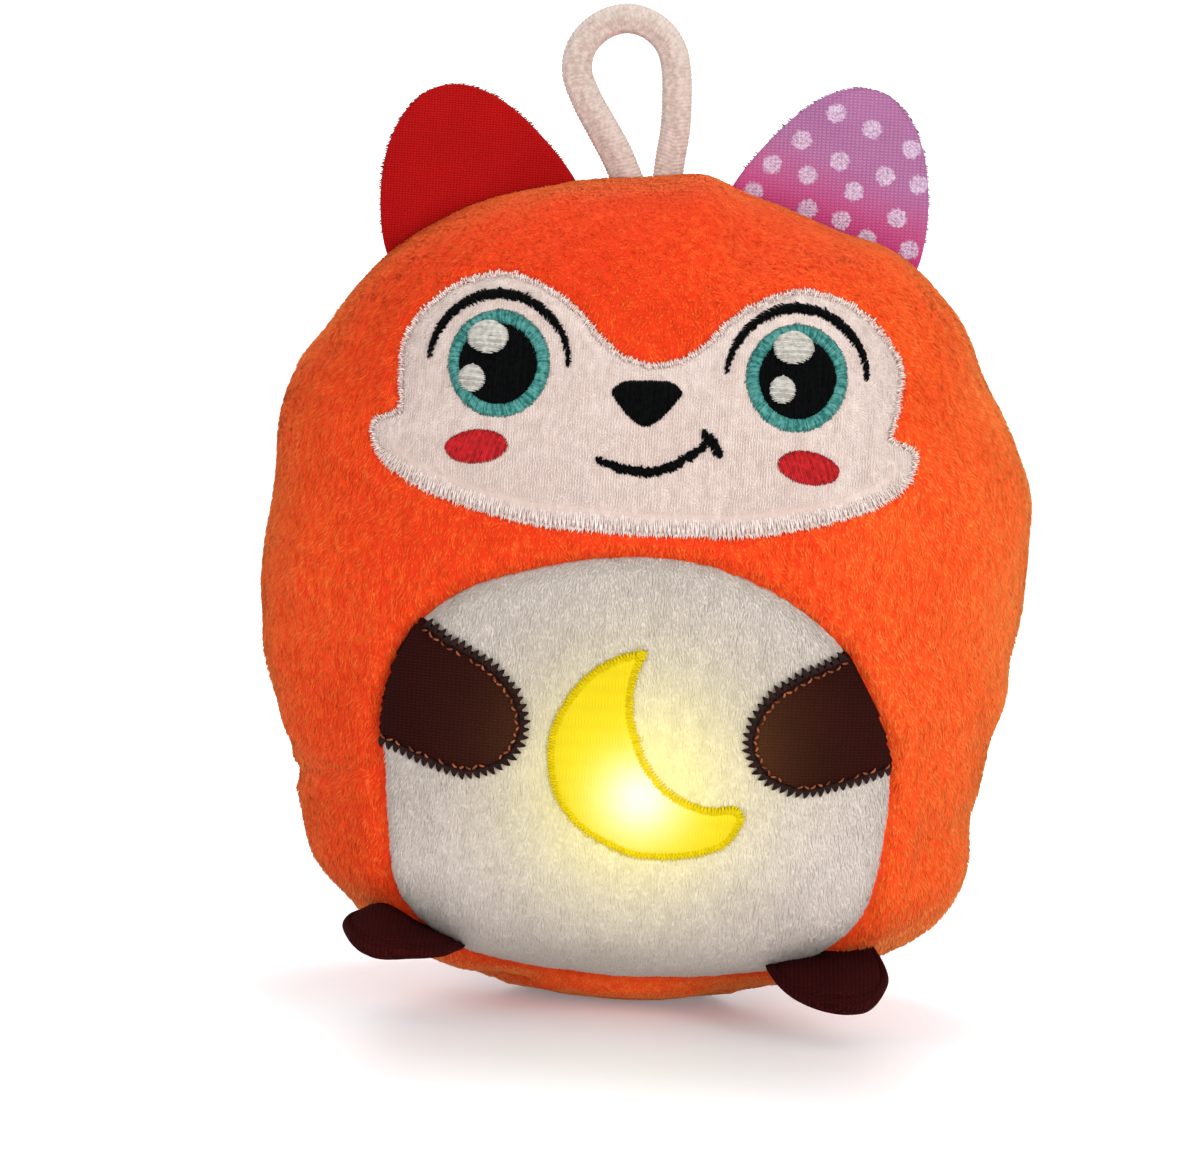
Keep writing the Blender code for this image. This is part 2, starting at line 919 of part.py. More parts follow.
def ear(name, turn, place, lean, height, finish):
    """A flat ear in the plane of the side seam, cut to the body it is sewn to."""
    normal = outward(turn, place)
    tilt = math.atan2(normal.x, normal.z) + lean
    up = Vector((math.sin(tilt), 0, math.cos(tilt)))
    chord = outer_point(turn, place) - up * EAR_SINK
    frame = Matrix.Translation(chord) @ Matrix.Rotation(tilt, 4, "Y")
    made = pad(
        name,
        EAR_HALF_WIDTH,
        height,
        EAR_SKIRT,
        EAR_EDGE,
        EAR_MIDDLE,
        EAR_POINT,
        frame,
        0.0,
        seam_crest(turn, up) + up * HINGE_GAP,
        finish,
    )
    cut(made, body_solid(name + "_seat", HINGE_GAP))


def ears():
    ear(
        "ear_left",
        math.pi,
        EAR_LEFT_PLACE_share,
        EAR_LEFT_LEAN,
        EAR_LEFT_HEIGHT,
        red_cloth(),
    )
    ear(
        "ear_right",
        0.0,
        EAR_RIGHT_PLACE_share,
        EAR_RIGHT_LEAN,
        EAR_RIGHT_HEIGHT,
        dotted_cloth(),
    )


def surface_at(x, z, front=-1):
    """The place on the body's surface at x and z, and the direction square to it."""
    low, high = 0.0, 1.0
    for _ in range(40):
        middle = (low + high) / 2
        low, high = (middle, high) if profile_at(middle).x * BODY_HEIGHT < z else (low, middle)
    radius = profile_at(low).y
    share = min(abs(x) / (BODY_WIDTH / 2 * radius), 1.0)
    turn = math.acos(share ** (SECTION_ROUNDNESS / 2))
    turn = math.copysign(turn if x >= 0 else math.pi - turn, front)
    return outer_point(turn, low), outward(turn, low)


def foot(side, facing, z, droop):
    """A foot that points forward, hinged along the line where it meets the body."""
    root, normal = surface_at(facing * FOOT_SPREAD, z)
    frame = Matrix.Translation(root) @ Matrix.Rotation(math.pi / 2 + droop, 4, "X")
    across, flat, reach = (frame.col[i].to_3d() for i in range(3))
    hinge = normal.cross(flat)
    made = pad(
        f"foot_{side}",
        FOOT_HALF_WIDTH,
        FOOT_LENGTH,
        FOOT_SKIRT,
        FOOT_EDGE,
        FOOT_MIDDLE,
        FOOT_POINT,
        frame,
        hinge.dot(reach) / hinge.dot(across),
        root + normal * HINGE_GAP,
        brown_cloth(),
    )
    cut(made, body_solid(f"foot_seat_{side}", HINGE_GAP))


def swept_rings(points, radius, sides, ends_round):
    """Rings of a cord along points, turned as little as possible from one to the next."""
    last = len(points) - 1
    directions = [
        (points[min(i + 1, last)] - points[max(i - 1, 0)]).normalized() for i in range(last + 1)
    ]
    across = directions[0].orthogonal().normalized()
    stations = []
    for i, (point, along) in enumerate(zip(points, directions, strict=True)):
        if i:
            across = directions[i - 1].rotation_difference(along) @ across
        stations.append((point, along, across, radius))
    if ends_round:
        steps = 3
        leans = [math.pi / 2 * k / steps for k in range(1, steps)]
        for place, way in ((0, -1), (-1, 1)):
            point, along, across, _ = stations[place]
            caps = [
                (point + along * way * radius * math.sin(a), along, across, radius * math.cos(a))
                for a in leans
            ]
            stations = caps[::-1] + stations if way < 0 else stations + caps
    rings = []
    for point, along, across, reach in stations:
        beside = along.cross(across)
        angles = [2 * math.pi * k / sides for k in range(sides)]
        rings.append([point + (across * math.cos(a) + beside * math.sin(a)) * reach for a in angles])
    return rings


def tube(name, points, diameter, sides, finish, ends_round=False):
    """A cord along points, with flat or half-round ends."""
    radius = diameter / 2
    rings = swept_rings(points, radius, sides, ends_round)
    vertices = [spot for ring in rings for spot in ring]
    tips = [points[0], points[-1]]
    if ends_round:
        tips[0] = points[0] + (points[0] - points[1]).normalized() * radius
        tips[1] = points[-1] + (points[-1] - points[-2]).normalized() * radius
    first_tip, last_tip = len(vertices), len(vertices) + 1
    vertices += tips
    faces = []
    for i in range(len(rings) - 1):
        for k in range(sides):
            a, b = i * sides + k, i * sides + (k + 1) % sides
            faces.append((a, b, b + sides, a + sides))
    top = (len(rings) - 1) * sides
    for k in range(sides):
        faces.append((first_tip, (k + 1) % sides, k))
        faces.append((last_tip, top + k, top + (k + 1) % sides))
    return new_object(name, vertices, faces, finish, points[-1])


def hang_loop():
    """The cord loop. Its legs end in half rounds on the axis that it swings about."""
    radius = LOOP_DIAMETER / 2
    foot_z = BODY_HEIGHT + GAP + radius
    legs = LOOP_LEFT_LEG_X, LOOP_RIGHT_LEG_X
    points = [
        Vector((legs[1] + LOOP_SPAN * x, 0, foot_z + (LOOP_HEIGHT - radius) * z))
        for x, z in LOOP_shares
    ]
    path = smooth_path(points, LOOP_STEPS)
    tube("hang_loop", path, LOOP_DIAMETER, LOOP_SIDES, loop_cord(), ends_round=True)


def turned(name, profile, finish, x, face_y, z, segments=TURN_SEGMENTS, ways=1):
    """A solid turned about an axis along Y, from radii and depths behind face_y."""
    work = bmesh.new()
    spots = [work.verts.new((radius, ways * depth, 0)) for radius, depth in profile]
    edges = [work.edges.new((a, b)) for a, b in zip(spots, spots[1:] + spots[:1], strict=True)]
    bmesh.ops.spin(
        work,
        geom=spots + edges,
        cent=(0, 0, 0),
        axis=(0, 1, 0),
        angle=2 * math.pi,
        steps=segments,
        use_merge=True,
    )
    bmesh.ops.remove_doubles(work, verts=work.verts, dist=WELD)
    bmesh.ops.dissolve_degenerate(work, edges=work.edges, dist=WELD)
    bmesh.ops.recalc_face_normals(work, faces=work.faces)
    mesh = bpy.data.meshes.new(name)
    work.to_mesh(mesh)
    work.free()
    mesh.shade_smooth()
    mesh.set_sharp_from_angle(angle=math.radians(35))
    made = bpy.data.objects.new(name, mesh)
    made.location = (x, face_y, z)
    if finish is not None:
        mesh.materials.append(finish)
    bpy.context.scene.collection.objects.link(made)
    return made


def block(name, low, high, finish=None):
    spans = list(zip(low, high, strict=True))
    vertices = [(x, y, z) for x in spans[0] for y in spans[1] for z in spans[2]]
    faces = [(0, 1, 3, 2), (4, 6, 7, 5), (0, 4, 5, 1), (2, 3, 7, 6), (0, 2, 6, 4), (1, 5, 7, 3)]
    return new_object(name, vertices, faces, finish)


def lamp_face():
    """Where the bezel's face lies in Y, so that the dome just clears the belly's lining."""
    front, _ = surface_at(LAMP_X, LAMP_Z)
    return front.y + PLUSH + 2 * GAP + DOME_RISE


def board_front():
    return BEZEL_THICKNESS + BEZEL_SKIRT + GAP


def board_back():
    return board_front() + BOARD_THICKNESS


def flange_back():
    return BEZEL_THICKNESS + GAP + DOME_FLANGE_THICKNESS


def dome_rim(radius, rise, steps=6):
    """Radii and depths of a dome from its crown to where its straight wall starts."""
    height = rise - DOME_STRAIGHT
    angles = [math.pi / 2 * i / steps for i in range(steps + 1)]
    return [(radius * math.sin(a), -DOME_STRAIGHT - height * math.cos(a)) for a in angles]


def lamp_bezel():
    bore = DOME_RADIUS + GAP
    skirt = LAMP_RADIUS - LAMP_WALL - GAP
    back = BEZEL_THICKNESS + BEZEL_SKIRT
    profile = [
        (bore, 0.0),
        (LAMP_RADIUS - LAMP_WALL / 2, 0.0),
        (LAMP_RADIUS, LAMP_WALL / 2),
        (LAMP_RADIUS, BEZEL_THICKNESS),
        (skirt, BEZEL_THICKNESS),
        (skirt, back),
        (skirt - BEZEL_SKIRT_WALL, back),
        (skirt - BEZEL_SKIRT_WALL, BEZEL_THICKNESS),
        (bore, BEZEL_THICKNESS),
    ]
    turned("lamp_bezel", profile, white_plastic(), LAMP_X, lamp_face(), LAMP_Z)


def lamp_housing():
    inner = LAMP_RADIUS - LAMP_WALL
    ledge = board_back() + GAP
    profile = [
        (LAMP_RADIUS, BEZEL_THICKNESS + GAP),
        (LAMP_RADIUS, LAMP_DEPTH - LAMP_WALL),
        (LAMP_RADIUS - LAMP_WALL, LAMP_DEPTH),
        (WIRE_HOLE_RADIUS, LAMP_DEPTH),
        (WIRE_HOLE_RADIUS, LAMP_DEPTH - LAMP_WALL),
        (inner - LEDGE_WIDTH, LAMP_DEPTH - LAMP_WALL),
        (inner - LEDGE_WIDTH, ledge),
        (inner, ledge),
        (inner, BEZEL_THICKNESS + GAP),
    ]
    turned("lamp_housing", profile, white_plastic(), LAMP_X, lamp_face(), LAMP_Z)


def diffuser_button():
    """The frosted dome with its flange, and the post that reaches the switch."""
    back = flange_back()
    outer = dome_rim(DOME_RADIUS, DOME_RISE)
    inner = dome_rim(DOME_RADIUS - DOME_WALL, DOME_RISE - DOME_WALL)
    post_end = board_front() - GAP - SWITCH_HEIGHT - PLUNGER_STANDS - GAP
    under = [(r, d) for r, d in inner if r > POST_RADIUS]
    profile = [
        *outer,
        (DOME_RADIUS, BEZEL_THICKNESS + GAP),
        (DOME_FLANGE_RADIUS, BEZEL_THICKNESS + GAP),
        (DOME_FLANGE_RADIUS, back),
        (DOME_RADIUS - DOME_WALL, back),
        *under[::-1],
        (POST_RADIUS, inner[0][1]),
        (POST_RADIUS, post_end),
        (0.0, post_end),
    ]
    turned("diffuser_button", profile, frosted_plastic(), LAMP_X, lamp_face(), LAMP_Z)


def circuit_board():
    radius = LAMP_RADIUS - LAMP_WALL - GAP
    profile = [(0.0, board_front()), (radius, board_front()), (radius, board_back()), (0.0, board_back())]
    turned("circuit_board", profile, board_laminate(), LAMP_X, lamp_face(), LAMP_Z)


def switch_front():
    return board_front() - GAP - SWITCH_HEIGHT


def tact_switch():
    half = SWITCH_SIDE / 2
    near, far = lamp_face() + switch_front(), lamp_face() + board_front() - GAP
    made = block(
        "tact_switch",
        (LAMP_X - half, near, LAMP_Z - half),
        (LAMP_X + half, far, LAMP_Z + half),
        black_plastic(),
    )
    bore = PLUNGER_RADIUS + GAP
    depth = switch_front() + PLUNGER_LENGTH - PLUNGER_STANDS + BUTTON_TRAVEL + GAP
    well = [(0.0, -LAMP_DEPTH), (bore, -LAMP_DEPTH), (bore, depth), (0.0, depth)]
    cut(made, turned("switch_well", well, None, LAMP_X, lamp_face(), LAMP_Z, SMALL_SEGMENTS))


def switch_plunger():
    near = switch_front() - PLUNGER_STANDS
    far = near + PLUNGER_LENGTH
    profile = [(0.0, near), (PLUNGER_RADIUS, near), (PLUNGER_RADIUS, far), (0.0, far)]
    turned(
        "switch_plunger", profile, black_plastic(), LAMP_X, lamp_face(), LAMP_Z, SMALL_SEGMENTS
    )


def leds():
    """Three lamps in a ring round the switch."""
    for i in range(LED_COUNT):
        angle = math.pi / 2 + 2 * math.pi * i / LED_COUNT
        x = LAMP_X + LED_RING_RADIUS * math.cos(angle)
        z = LAMP_Z + LED_RING_RADIUS * math.sin(angle)
        foot_at = board_front() - GAP
        neck = foot_at - LED_FLANGE_THICKNESS
        shoulder = foot_at - LED_HEIGHT + LED_RADIUS
        steps = 4
        cap = [
            (LED_RADIUS * math.sin(a), shoulder - LED_RADIUS * math.cos(a))
            for a in (math.pi / 2 * k / steps for k in range(steps + 1))
        ]
        profile = [
            *cap,
            (LED_RADIUS, neck),
            (LED_FLANGE_RADIUS, neck),
            (LED_FLANGE_RADIUS, foot_at),
            (0.0, foot_at),
        ]
        turned(f"led_{i + 1}", profile, lens_resin(), x, lamp_face(), z, SMALL_SEGMENTS)


def lamp_pocket():
    """The lamp's room in the filling, open through the belly side over the dome."""
    dome = DOME_RADIUS + GAP
    side = LAMP_RADIUS + GAP
    profile = [
        (0.0, -BODY_DEPTH / 2),
        (dome, -BODY_DEPTH / 2),
        (dome, -GAP),
        (side, -GAP),
        (side, LAMP_DEPTH + GAP),
        (0.0, LAMP_DEPTH + GAP),
    ]
    return turned("lamp_pocket", profile, None, LAMP_X, lamp_face(), LAMP_Z)


def cavity_width():
    return (CELL_COUNT - 1) * CELL_PITCH + 2 * (CELL_RADIUS + BOX_CLEARANCE)


def cavity_length():
    return CELL_LENGTH + SPRING_ROOM + 2 * (CONTACT_ROOM + CONTACT_THICKNESS) + 2 * GAP


def cavity_depth():
    return 2 * (CELL_RADIUS + BOX_CLEARANCE)


def box_low():
    """The lower corner of the battery box, as X and Z."""
    length = cavity_length() + BOX_WALL + BOX_BOSS
    return -cavity_width() / 2 - BOX_WALL, BOX_Z - length / 2


def box_high():
    length = cavity_length() + BOX_WALL + BOX_BOSS
    return cavity_width() / 2 + BOX_WALL, BOX_Z + length / 2


def box_back():
    """Where the box's open rim lies in Y, so that its cover stays under the back panel."""
    corner, _ = surface_at(box_high()[0], box_low()[1], 1)
    return corner.y - 2 * PLUSH - 2 * GAP - COVER_THICKNESS


def box_front():
    return box_back() - cavity_depth() - BOX_WALL


def cavity_bottom():
    return box_low()[1] + BOX_BOSS


def cell_x(i):
    return (i - (CELL_COUNT - 1) / 2) * CELL_PITCH


def cell_y():
    return box_back() - CELL_RADIUS - BOX_CLEARANCE


def rounded_rectangle(low, high, radius, steps=4):
    corners = (
        (high[0] - radius, high[1] - radius, 0),
        (low[0] + radius, high[1] - radius, 1),
        (low[0] + radius, low[1] + radius, 2),
        (high[0] - radius, low[1] + radius, 3),
    )
    outline = []
    for x, z, quarter in corners:
        start = quarter * math.pi / 2
        outline += arc(x, z, radius, (start, start + math.pi / 2), steps)
    return outline


def grown(low, high, clearance):
    return (
        (low[0] - clearance, low[1] - clearance),
        (high[0] + clearance, high[1] + clearance),
    )


def box_outline(clearance):
    return rounded_rectangle(*grown(box_low(), box_high(), clearance), BOX_WALL + clearance)


def screw_z():
    return box_low()[1] + BOX_BOSS / 2


def battery_box():
    made = prism("battery_box", box_outline(0.0), box_front(), box_back())
    made.data.materials.append(white_plastic())
    half = cavity_width() / 2
    bottom, top = cavity_bottom(), cavity_bottom() + cavity_length()
    bay = block("cell_bay", (-half, box_front() + BOX_WALL, bottom), (half, box_back() + OVERRUN, top))
    for i in range(CELL_COUNT - 1):
        rib_x = (cell_x(i) + cell_x(i + 1)) / 2
        rib = block(
            f"bay_rib_{i + 1}",
            (rib_x - BOX_RIB_THICKNESS / 2, box_front(), bottom + BOX_RIB_INSET),
            (
                rib_x + BOX_RIB_THICKNESS / 2,
                box_front() + BOX_WALL + BOX_RIB_HEIGHT,
                top - BOX_RIB_INSET,
            ),
        )
        cut(bay, rib)
    cut(made, bay)
    pilot = SCREW_RADIUS + GAP
    depth = box_back() + COVER_THICKNESS - SCREW_LENGTH - GAP
    well = [(0.0, 0.0), (pilot, 0.0), (pilot, OVERRUN), (0.0, OVERRUN)]
    cut(made, turned("screw_well", well, None, 0.0, depth, screw_z(), SMALL_SEGMENTS))
    for name, x, z in wire_ends():
        hole = tube(
            f"{name}_box_hole",
            [Vector((x, box_front() - OVERRUN, z)), Vector((x, box_front() + 2 * BOX_WALL, z))],
            WIRE_DIAMETER + 2 * GAP,
            WIRE_SIDES,
            None,
        )
        cut(made, hole)


def battery_cover():
    near = box_back() + GAP
    far = near + COVER_THICKNESS
    made = prism("battery_cover", box_outline(0.0), near, far)
    made.data.materials.append(white_plastic())
    half = cavity_width() / 2 - GAP
    bottom = cavity_bottom() + GAP
    top = cavity_bottom() + cavity_length() - GAP
    wall = COVER_LIP_WALL
    lip = block("cover_lip", (-half, near - COVER_LIP, top - wall), (half, near + GAP, top))
    reach = cell_y() + CELL_RADIUS + GAP
    if reach > near - COVER_LIP:
        room = block(
            "lip_room",
            (-half - OVERRUN, near - OVERRUN, bottom),
            (half + OVERRUN, reach, top - CONTACT_ROOM),
        )
        cut(lip, room)
    join(made, lip)
    head = SCREW_HEAD_RADIUS + GAP
    shank = SCREW_RADIUS + GAP
    seat = COVER_THICKNESS - SCREW_HEAD_HEIGHT - GAP
    profile = [
        (0.0, -OVERRUN),
        (shank, -OVERRUN),
        (shank, seat),
        (head, seat),
        (head, OVERRUN),
        (0.0, OVERRUN),
    ]
    cut(made, turned("cover_hole", profile, None, 0.0, near, screw_z(), SMALL_SEGMENTS))


def cover_screw():
    """The cross-headed screw, its head just under the cover's face."""
    near = box_back() + GAP
    top = COVER_THICKNESS
    under = COVER_THICKNESS - SCREW_HEAD_HEIGHT
    profile = [
        (0.0, top - SCREW_LENGTH),
        (SCREW_RADIUS, top - SCREW_LENGTH + SCREW_RADIUS),
        (SCREW_RADIUS, under),
        (SCREW_HEAD_RADIUS, under),
        (SCREW_HEAD_RADIUS, top),
        (0.0, top),
    ]
    made = turned("cover_screw", profile, bright_steel(), 0.0, near, screw_z(), SMALL_SEGMENTS)
    reach = SCREW_HEAD_RADIUS * 0.7
    half = SCREW_SLOT / 2
    floor = near + top - SCREW_HEAD_HEIGHT / 2
    for name, x, z in (("slot_across", reach, half), ("slot_up", half, reach)):
        slot = block(
            name, (-x, floor, screw_z() - z), (x, floor + OVERRUN, screw_z() + z)
        )
        cut(made, slot)


def cell_span(i):
    """Lower and upper ends of a cell: every second one has its spring at the top."""
    low = cavity_bottom() + CONTACT_ROOM + CONTACT_THICKNESS + GAP
    if i % 2 == 0:
        low += SPRING_ROOM
    return low, low + CELL_LENGTH


def cells():
    for i in range(CELL_COUNT):
        low, high = cell_span(i)
        body = CELL_LENGTH - CELL_NUB_HEIGHT
        profile = [
            (0.0, 0.0),
            (CELL_RADIUS - CELL_EDGE, 0.0),
            (CELL_RADIUS, CELL_EDGE),
            (CELL_RADIUS, body - CELL_EDGE),
            (CELL_RADIUS - CELL_EDGE, body),
            (CELL_NUB_RADIUS, body),
            (CELL_NUB_RADIUS, CELL_LENGTH),
            (0.0, CELL_LENGTH),
        ]
        up = i % 2 == 0
        made = turned(f"cell_{i + 1}", profile, cell_sleeve(), 0, 0, 0, SMALL_SEGMENTS + 4)
        made.rotation_euler = (math.pi / 2 if up else -math.pi / 2, 0, 0)
        made.location = (cell_x(i), cell_y(), low if up else high)


def spring_path(x, z, facing):
    """Turns of a cone spring that stands on a contact at z and narrows along facing."""
    count = SPRING_TURNS * SPRING_STEPS
    start = z - facing * CONTACT_THICKNESS / 2
    height = SPRING_ROOM - SPRING_WIRE / 2 - GAP + CONTACT_THICKNESS / 2
    points = []
    for i in range(count + 1):
        share = i / count
        angle = 2 * math.pi * SPRING_TURNS * share
        radius = mixed(SPRING_FOOT_RADIUS, SPRING_TIP_RADIUS, share)
        points.append(
            Vector(
                (
                    x + radius * math.cos(angle),
                    cell_y() + radius * math.sin(angle),
                    start + facing * height * share,
                )
            )
        )
    return points


def contact(name, first, last, at_top):
    """A plate behind the cells from first to last, with a spring for each lower end."""
    bottom = cavity_bottom() + CONTACT_ROOM
    facing = 1
    near, far = bottom, bottom + CONTACT_THICKNESS
    if at_top:
        top = cavity_bottom() + cavity_length() - CONTACT_ROOM
        near, far = top - CONTACT_THICKNESS, top
        facing = -1
    half = CONTACT_WIDTH / 2
    deep = cavity_depth() / 2 - GAP
    made = block(
        name,
        (cell_x(first) - half, cell_y() - deep, near),
        (cell_x(last) + half, cell_y() + deep, far),
        bright_steel(),
    )
    for i in range(first, last + 1):
        if (i % 2 == 0) != at_top:
            face = near if at_top else far
            path = spring_path(cell_x(i), face, facing)
            join(made, tube(f"{name}_spring_{i + 1}", path, SPRING_WIRE, SPRING_SIDES, None))
    return made


def contacts():
    last = CELL_COUNT - 1
    contact("contact_positive", 0, 0, True)
    contact("contact_bridge_top", 1, last, True)
    contact("contact_bridge_bottom", 0, 1, False)
    contact("contact_negative", last, last, False)


def wire_ends():
    """Where each wire meets its contact, behind the plate at the box's end."""
    top = cavity_bottom() + cavity_length() - CONTACT_ROOM / 2
    bottom = cavity_bottom() + CONTACT_ROOM / 2
    last = CELL_COUNT - 1
    return (("wire_red", cell_x(0), top), ("wire_black", cell_x(last), bottom))


def wire_path(x, z, side):
    """A smooth run from the board through the filling to the contact at x and z."""
    start = lamp_face() + board_back() + GAP
    leaves = lamp_face() + LAMP_DEPTH + WIRE_LEAD / 2
    enters = box_front() - POUCH_WALL - WIRE_LEAD
    ends = box_front() + BOX_WALL + cavity_depth() / 2
    begin = Vector((LAMP_X + side * WIRE_SPREAD, start, LAMP_Z))
    first = Vector((LAMP_X + side * WIRE_SPREAD, leaves, LAMP_Z))
    second = Vector((x, enters, z))
    finish = Vector((x, ends, z))
    pull = (enters - leaves) * 0.5
    path = [begin, mixed(begin, first, 0.5), first]
    for i in range(1, WIRE_STEPS):
        t = i / WIRE_STEPS
        path.append(
            first * (1 - t) ** 3
            + (first + Vector((0, pull, 0))) * 3 * t * (1 - t) ** 2
            + (second - Vector((0, pull, 0))) * 3 * t**2 * (1 - t)
            + second * t**3
        )
    return [*path, second, mixed(second, finish, 0.5), finish]


def wires():
    """Both wires, and the bores that they run in through the filling."""
    bores = []
    for (name, x, z), side, finish in zip(
        wire_ends(), (-1, 1), (red_wire_coat(), black_wire_coat()), strict=True
    ):
        path = wire_path(x, z, side)
        tube(name, path, WIRE_DIAMETER, WIRE_SIDES, finish)
        bores.append(tube(f"{name}_bore", path, WIRE_DIAMETER + 2 * GAP, WIRE_SIDES, None))
    return bores


def pouch_inside(name):
    return prism(name, box_outline(GAP), box_front() - GAP, BODY_DEPTH / 2 + OVERRUN)


def battery_pouch(bores):
    """The cloth bag round the box, open at the back and hemmed to the back panel."""
    outline = box_outline(GAP + POUCH_WALL)
    near = box_front() - GAP - POUCH_WALL
    made = prism("battery_pouch", outline, near, BODY_DEPTH / 2 + OVERRUN)
    made.data.materials.append(lining_cloth())
    keep_inside(made, body_solid("pouch_rim", -PLUSH - GAP))
    cut(made, pouch_inside("pouch_bag"), *bores)


def stuffing(bores):
    """The filling, with room for the lamp, the pouch and the wires between them."""
    made = body_solid("stuffing", -PLUSH - GAP, fibre_fill())
    outline = box_outline(2 * GAP + POUCH_WALL)
    near = box_front() - 2 * GAP - POUCH_WALL
    room = prism("pouch_room", outline, near, BODY_DEPTH / 2 + OVERRUN)
    cut(made, room, lamp_pocket(), *bores)


def flap_low():
    return -FLAP_HALF_WIDTH, box_low()[1] - FLAP_OVER_BOTTOM


def flap_high():
    return FLAP_HALF_WIDTH, box_high()[1] + FLAP_OVER_TOP


def back_prism(name, outline):
    return prism(name, outline, 0.0, BODY_DEPTH / 2 + OVERRUN)


def tape_outline():
    top = box_low()[1] - GAP - TAPE_DROP
    low, high = (-TAPE_HALF_WIDTH, top - TAPE_HEIGHT), (TAPE_HALF_WIDTH, top)
    return rounded_rectangle(low, high, TAPE)


def flap_level(row):
    """How far the flap stands off the back panel: closed tape below, sewn down on top."""
    height = profile_at(row / ROWS).x * BODY_HEIGHT
    top, low = flap_high()[1], box_high()[1] - FLAP_OVER_TOP
    share = min(max((top - height) / (top - low), 0.0), 1.0)
    return mixed(GAP, 3 * GAP + 2 * TAPE, share)


def back_flap():
    places, triangles = skin_sheet(BASE_SEAM_ROW, ROWS - 1, BACK_COLUMNS[0] + 1, BACK_COLUMNS[1] - 1)
    inner = [skin_point(place, flap_level(place[0])) for place in places]
    outer = [skin_point(place, flap_level(place[0]) + PLUSH) for place in places]
    vertices, faces = closed_between(outer, inner, triangles)
    made = new_object("back_flap", vertices, faces, orange_plush(), flap_hinge())
    outline = rounded_rectangle(flap_low(), flap_high(), FLAP_CORNER)
    keep_inside(made, back_prism("flap_outline", outline))


def flap_hinge():
    """The middle of the flap's sewn top edge, in the thickness of the cloth."""
    surface, _ = surface_at(0.0, flap_high()[1], 1)
    return surface + Vector((0, GAP + PLUSH / 2, 0))


def tapes():
    for name, level in (("loop_strip", GAP), ("hook_strip", 2 * GAP + TAPE)):
        applique(name, tape_outline(), level, TAPE, tape_nylon(), BACK_COLUMNS)


def set_origin(name, place):
    """Moves an object's origin to place and leaves its shape where it is."""
    thing = bpy.data.objects[name]
    shift = Vector(place) - thing.location
    thing.data.transform(Matrix.Translation(-shift))
    thing.location = place


def build():
    clear_scene()
    front_panel()
    back_panel()
    base_panel()
    belly_panel()
    face_patch()
    moon_patch()
    nose()
    mouth()
    for side, facing in (("left", -1), ("right", 1)):
        eye(side, FACE_X + facing * EYE_SPREAD)
        brow(side, FACE_X + facing * EYE_SPREAD)
        cheek(side, facing)
        paw(side, facing)
    ears()
    foot("left", -1, FOOT_LEFT_Z, FOOT_LEFT_DROOP)
    foot("right", 1, FOOT_RIGHT_Z, FOOT_RIGHT_DROOP)
    hang_loop()
    lamp_bezel()
    lamp_housing()
    diffuser_button()
    circuit_board()
    tact_switch()
    switch_plunger()
    leds()
    battery_box()
    battery_cover()
    cover_screw()
    cells()
    contacts()
    bores = wires()
    battery_pouch(bores)
    stuffing(bores)
    back_flap()
    tapes()
    set_origin("hook_strip", flap_hinge())


build()
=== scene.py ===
"""Plush fox night light: the dressed model, its stage and its camera."""

import math

import bmesh
import bpy
import numpy as np
from mathutils import Matrix, Vector
from mathutils.bvhtree import BVHTree
from mathutils.geometry import delaunay_2d_cdt


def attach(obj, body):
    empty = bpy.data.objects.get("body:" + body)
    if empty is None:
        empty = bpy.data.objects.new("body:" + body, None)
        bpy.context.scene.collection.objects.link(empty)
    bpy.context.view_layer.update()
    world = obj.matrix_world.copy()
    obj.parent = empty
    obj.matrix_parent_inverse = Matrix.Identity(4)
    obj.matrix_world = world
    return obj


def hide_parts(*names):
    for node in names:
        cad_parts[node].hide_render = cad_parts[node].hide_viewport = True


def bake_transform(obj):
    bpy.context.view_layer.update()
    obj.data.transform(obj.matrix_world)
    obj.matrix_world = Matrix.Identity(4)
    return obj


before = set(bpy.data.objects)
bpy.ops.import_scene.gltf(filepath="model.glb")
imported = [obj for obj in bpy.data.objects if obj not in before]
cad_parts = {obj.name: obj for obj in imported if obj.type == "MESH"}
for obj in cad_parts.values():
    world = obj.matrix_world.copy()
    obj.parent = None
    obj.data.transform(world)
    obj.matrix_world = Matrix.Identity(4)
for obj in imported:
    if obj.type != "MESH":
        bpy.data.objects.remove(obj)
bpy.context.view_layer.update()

MM = 0.001
UP = np.array((0.0, 0.0, 1.0))

# The stuffed body, as in the CAD. The profile gives shares of its height and half width.
BODY = np.array((0.1286, 0.101, 0.1387))
ROUNDNESS = 2.2
BASE_LIFT = 0.0016  # the base's front edge is drawn up off the floor by the belly's seam
CORNER_LIFT = 0.0008
PROFILE = np.array(
    (
        (0.000, 0.300), (0.032, 0.525), (0.094, 0.735), (0.159, 0.848), (0.245, 0.894),
        (0.342, 0.941), (0.433, 0.984), (0.519, 1.000), (0.613, 0.992), (0.699, 0.964),
        (0.779, 0.886), (0.854, 0.778), (0.923, 0.607), (0.975, 0.373), (1.000, 0.000),
    )
)

# How far the left and right sides stand out at a height, in millimetres
LEFT_BULGE = (
    (0, -0.3), (8, -1.6), (14, -3.5), (21, -1.1), (30, -0.7), (38, 0.0), (47, 0.3), (64, 0.3),
    (74, 0.0), (82, -0.9), (97, 0.4), (107, 0.0), (117, 0.0), (125, 1.1), (139, -0.2),
)
RIGHT_BULGE = (
    (0, 0.0), (8, 1.6), (14, 2.3), (21, 1.8), (30, 0.7), (38, 0.1), (47, -0.3), (55, 0.6),
    (63, -0.9), (70, -0.8), (80, -0.1), (88, 0.8), (97, -0.6), (105, -1.4), (113, -1.3),
    (119, -0.3), (128, 0.6), (139, -0.4),
)
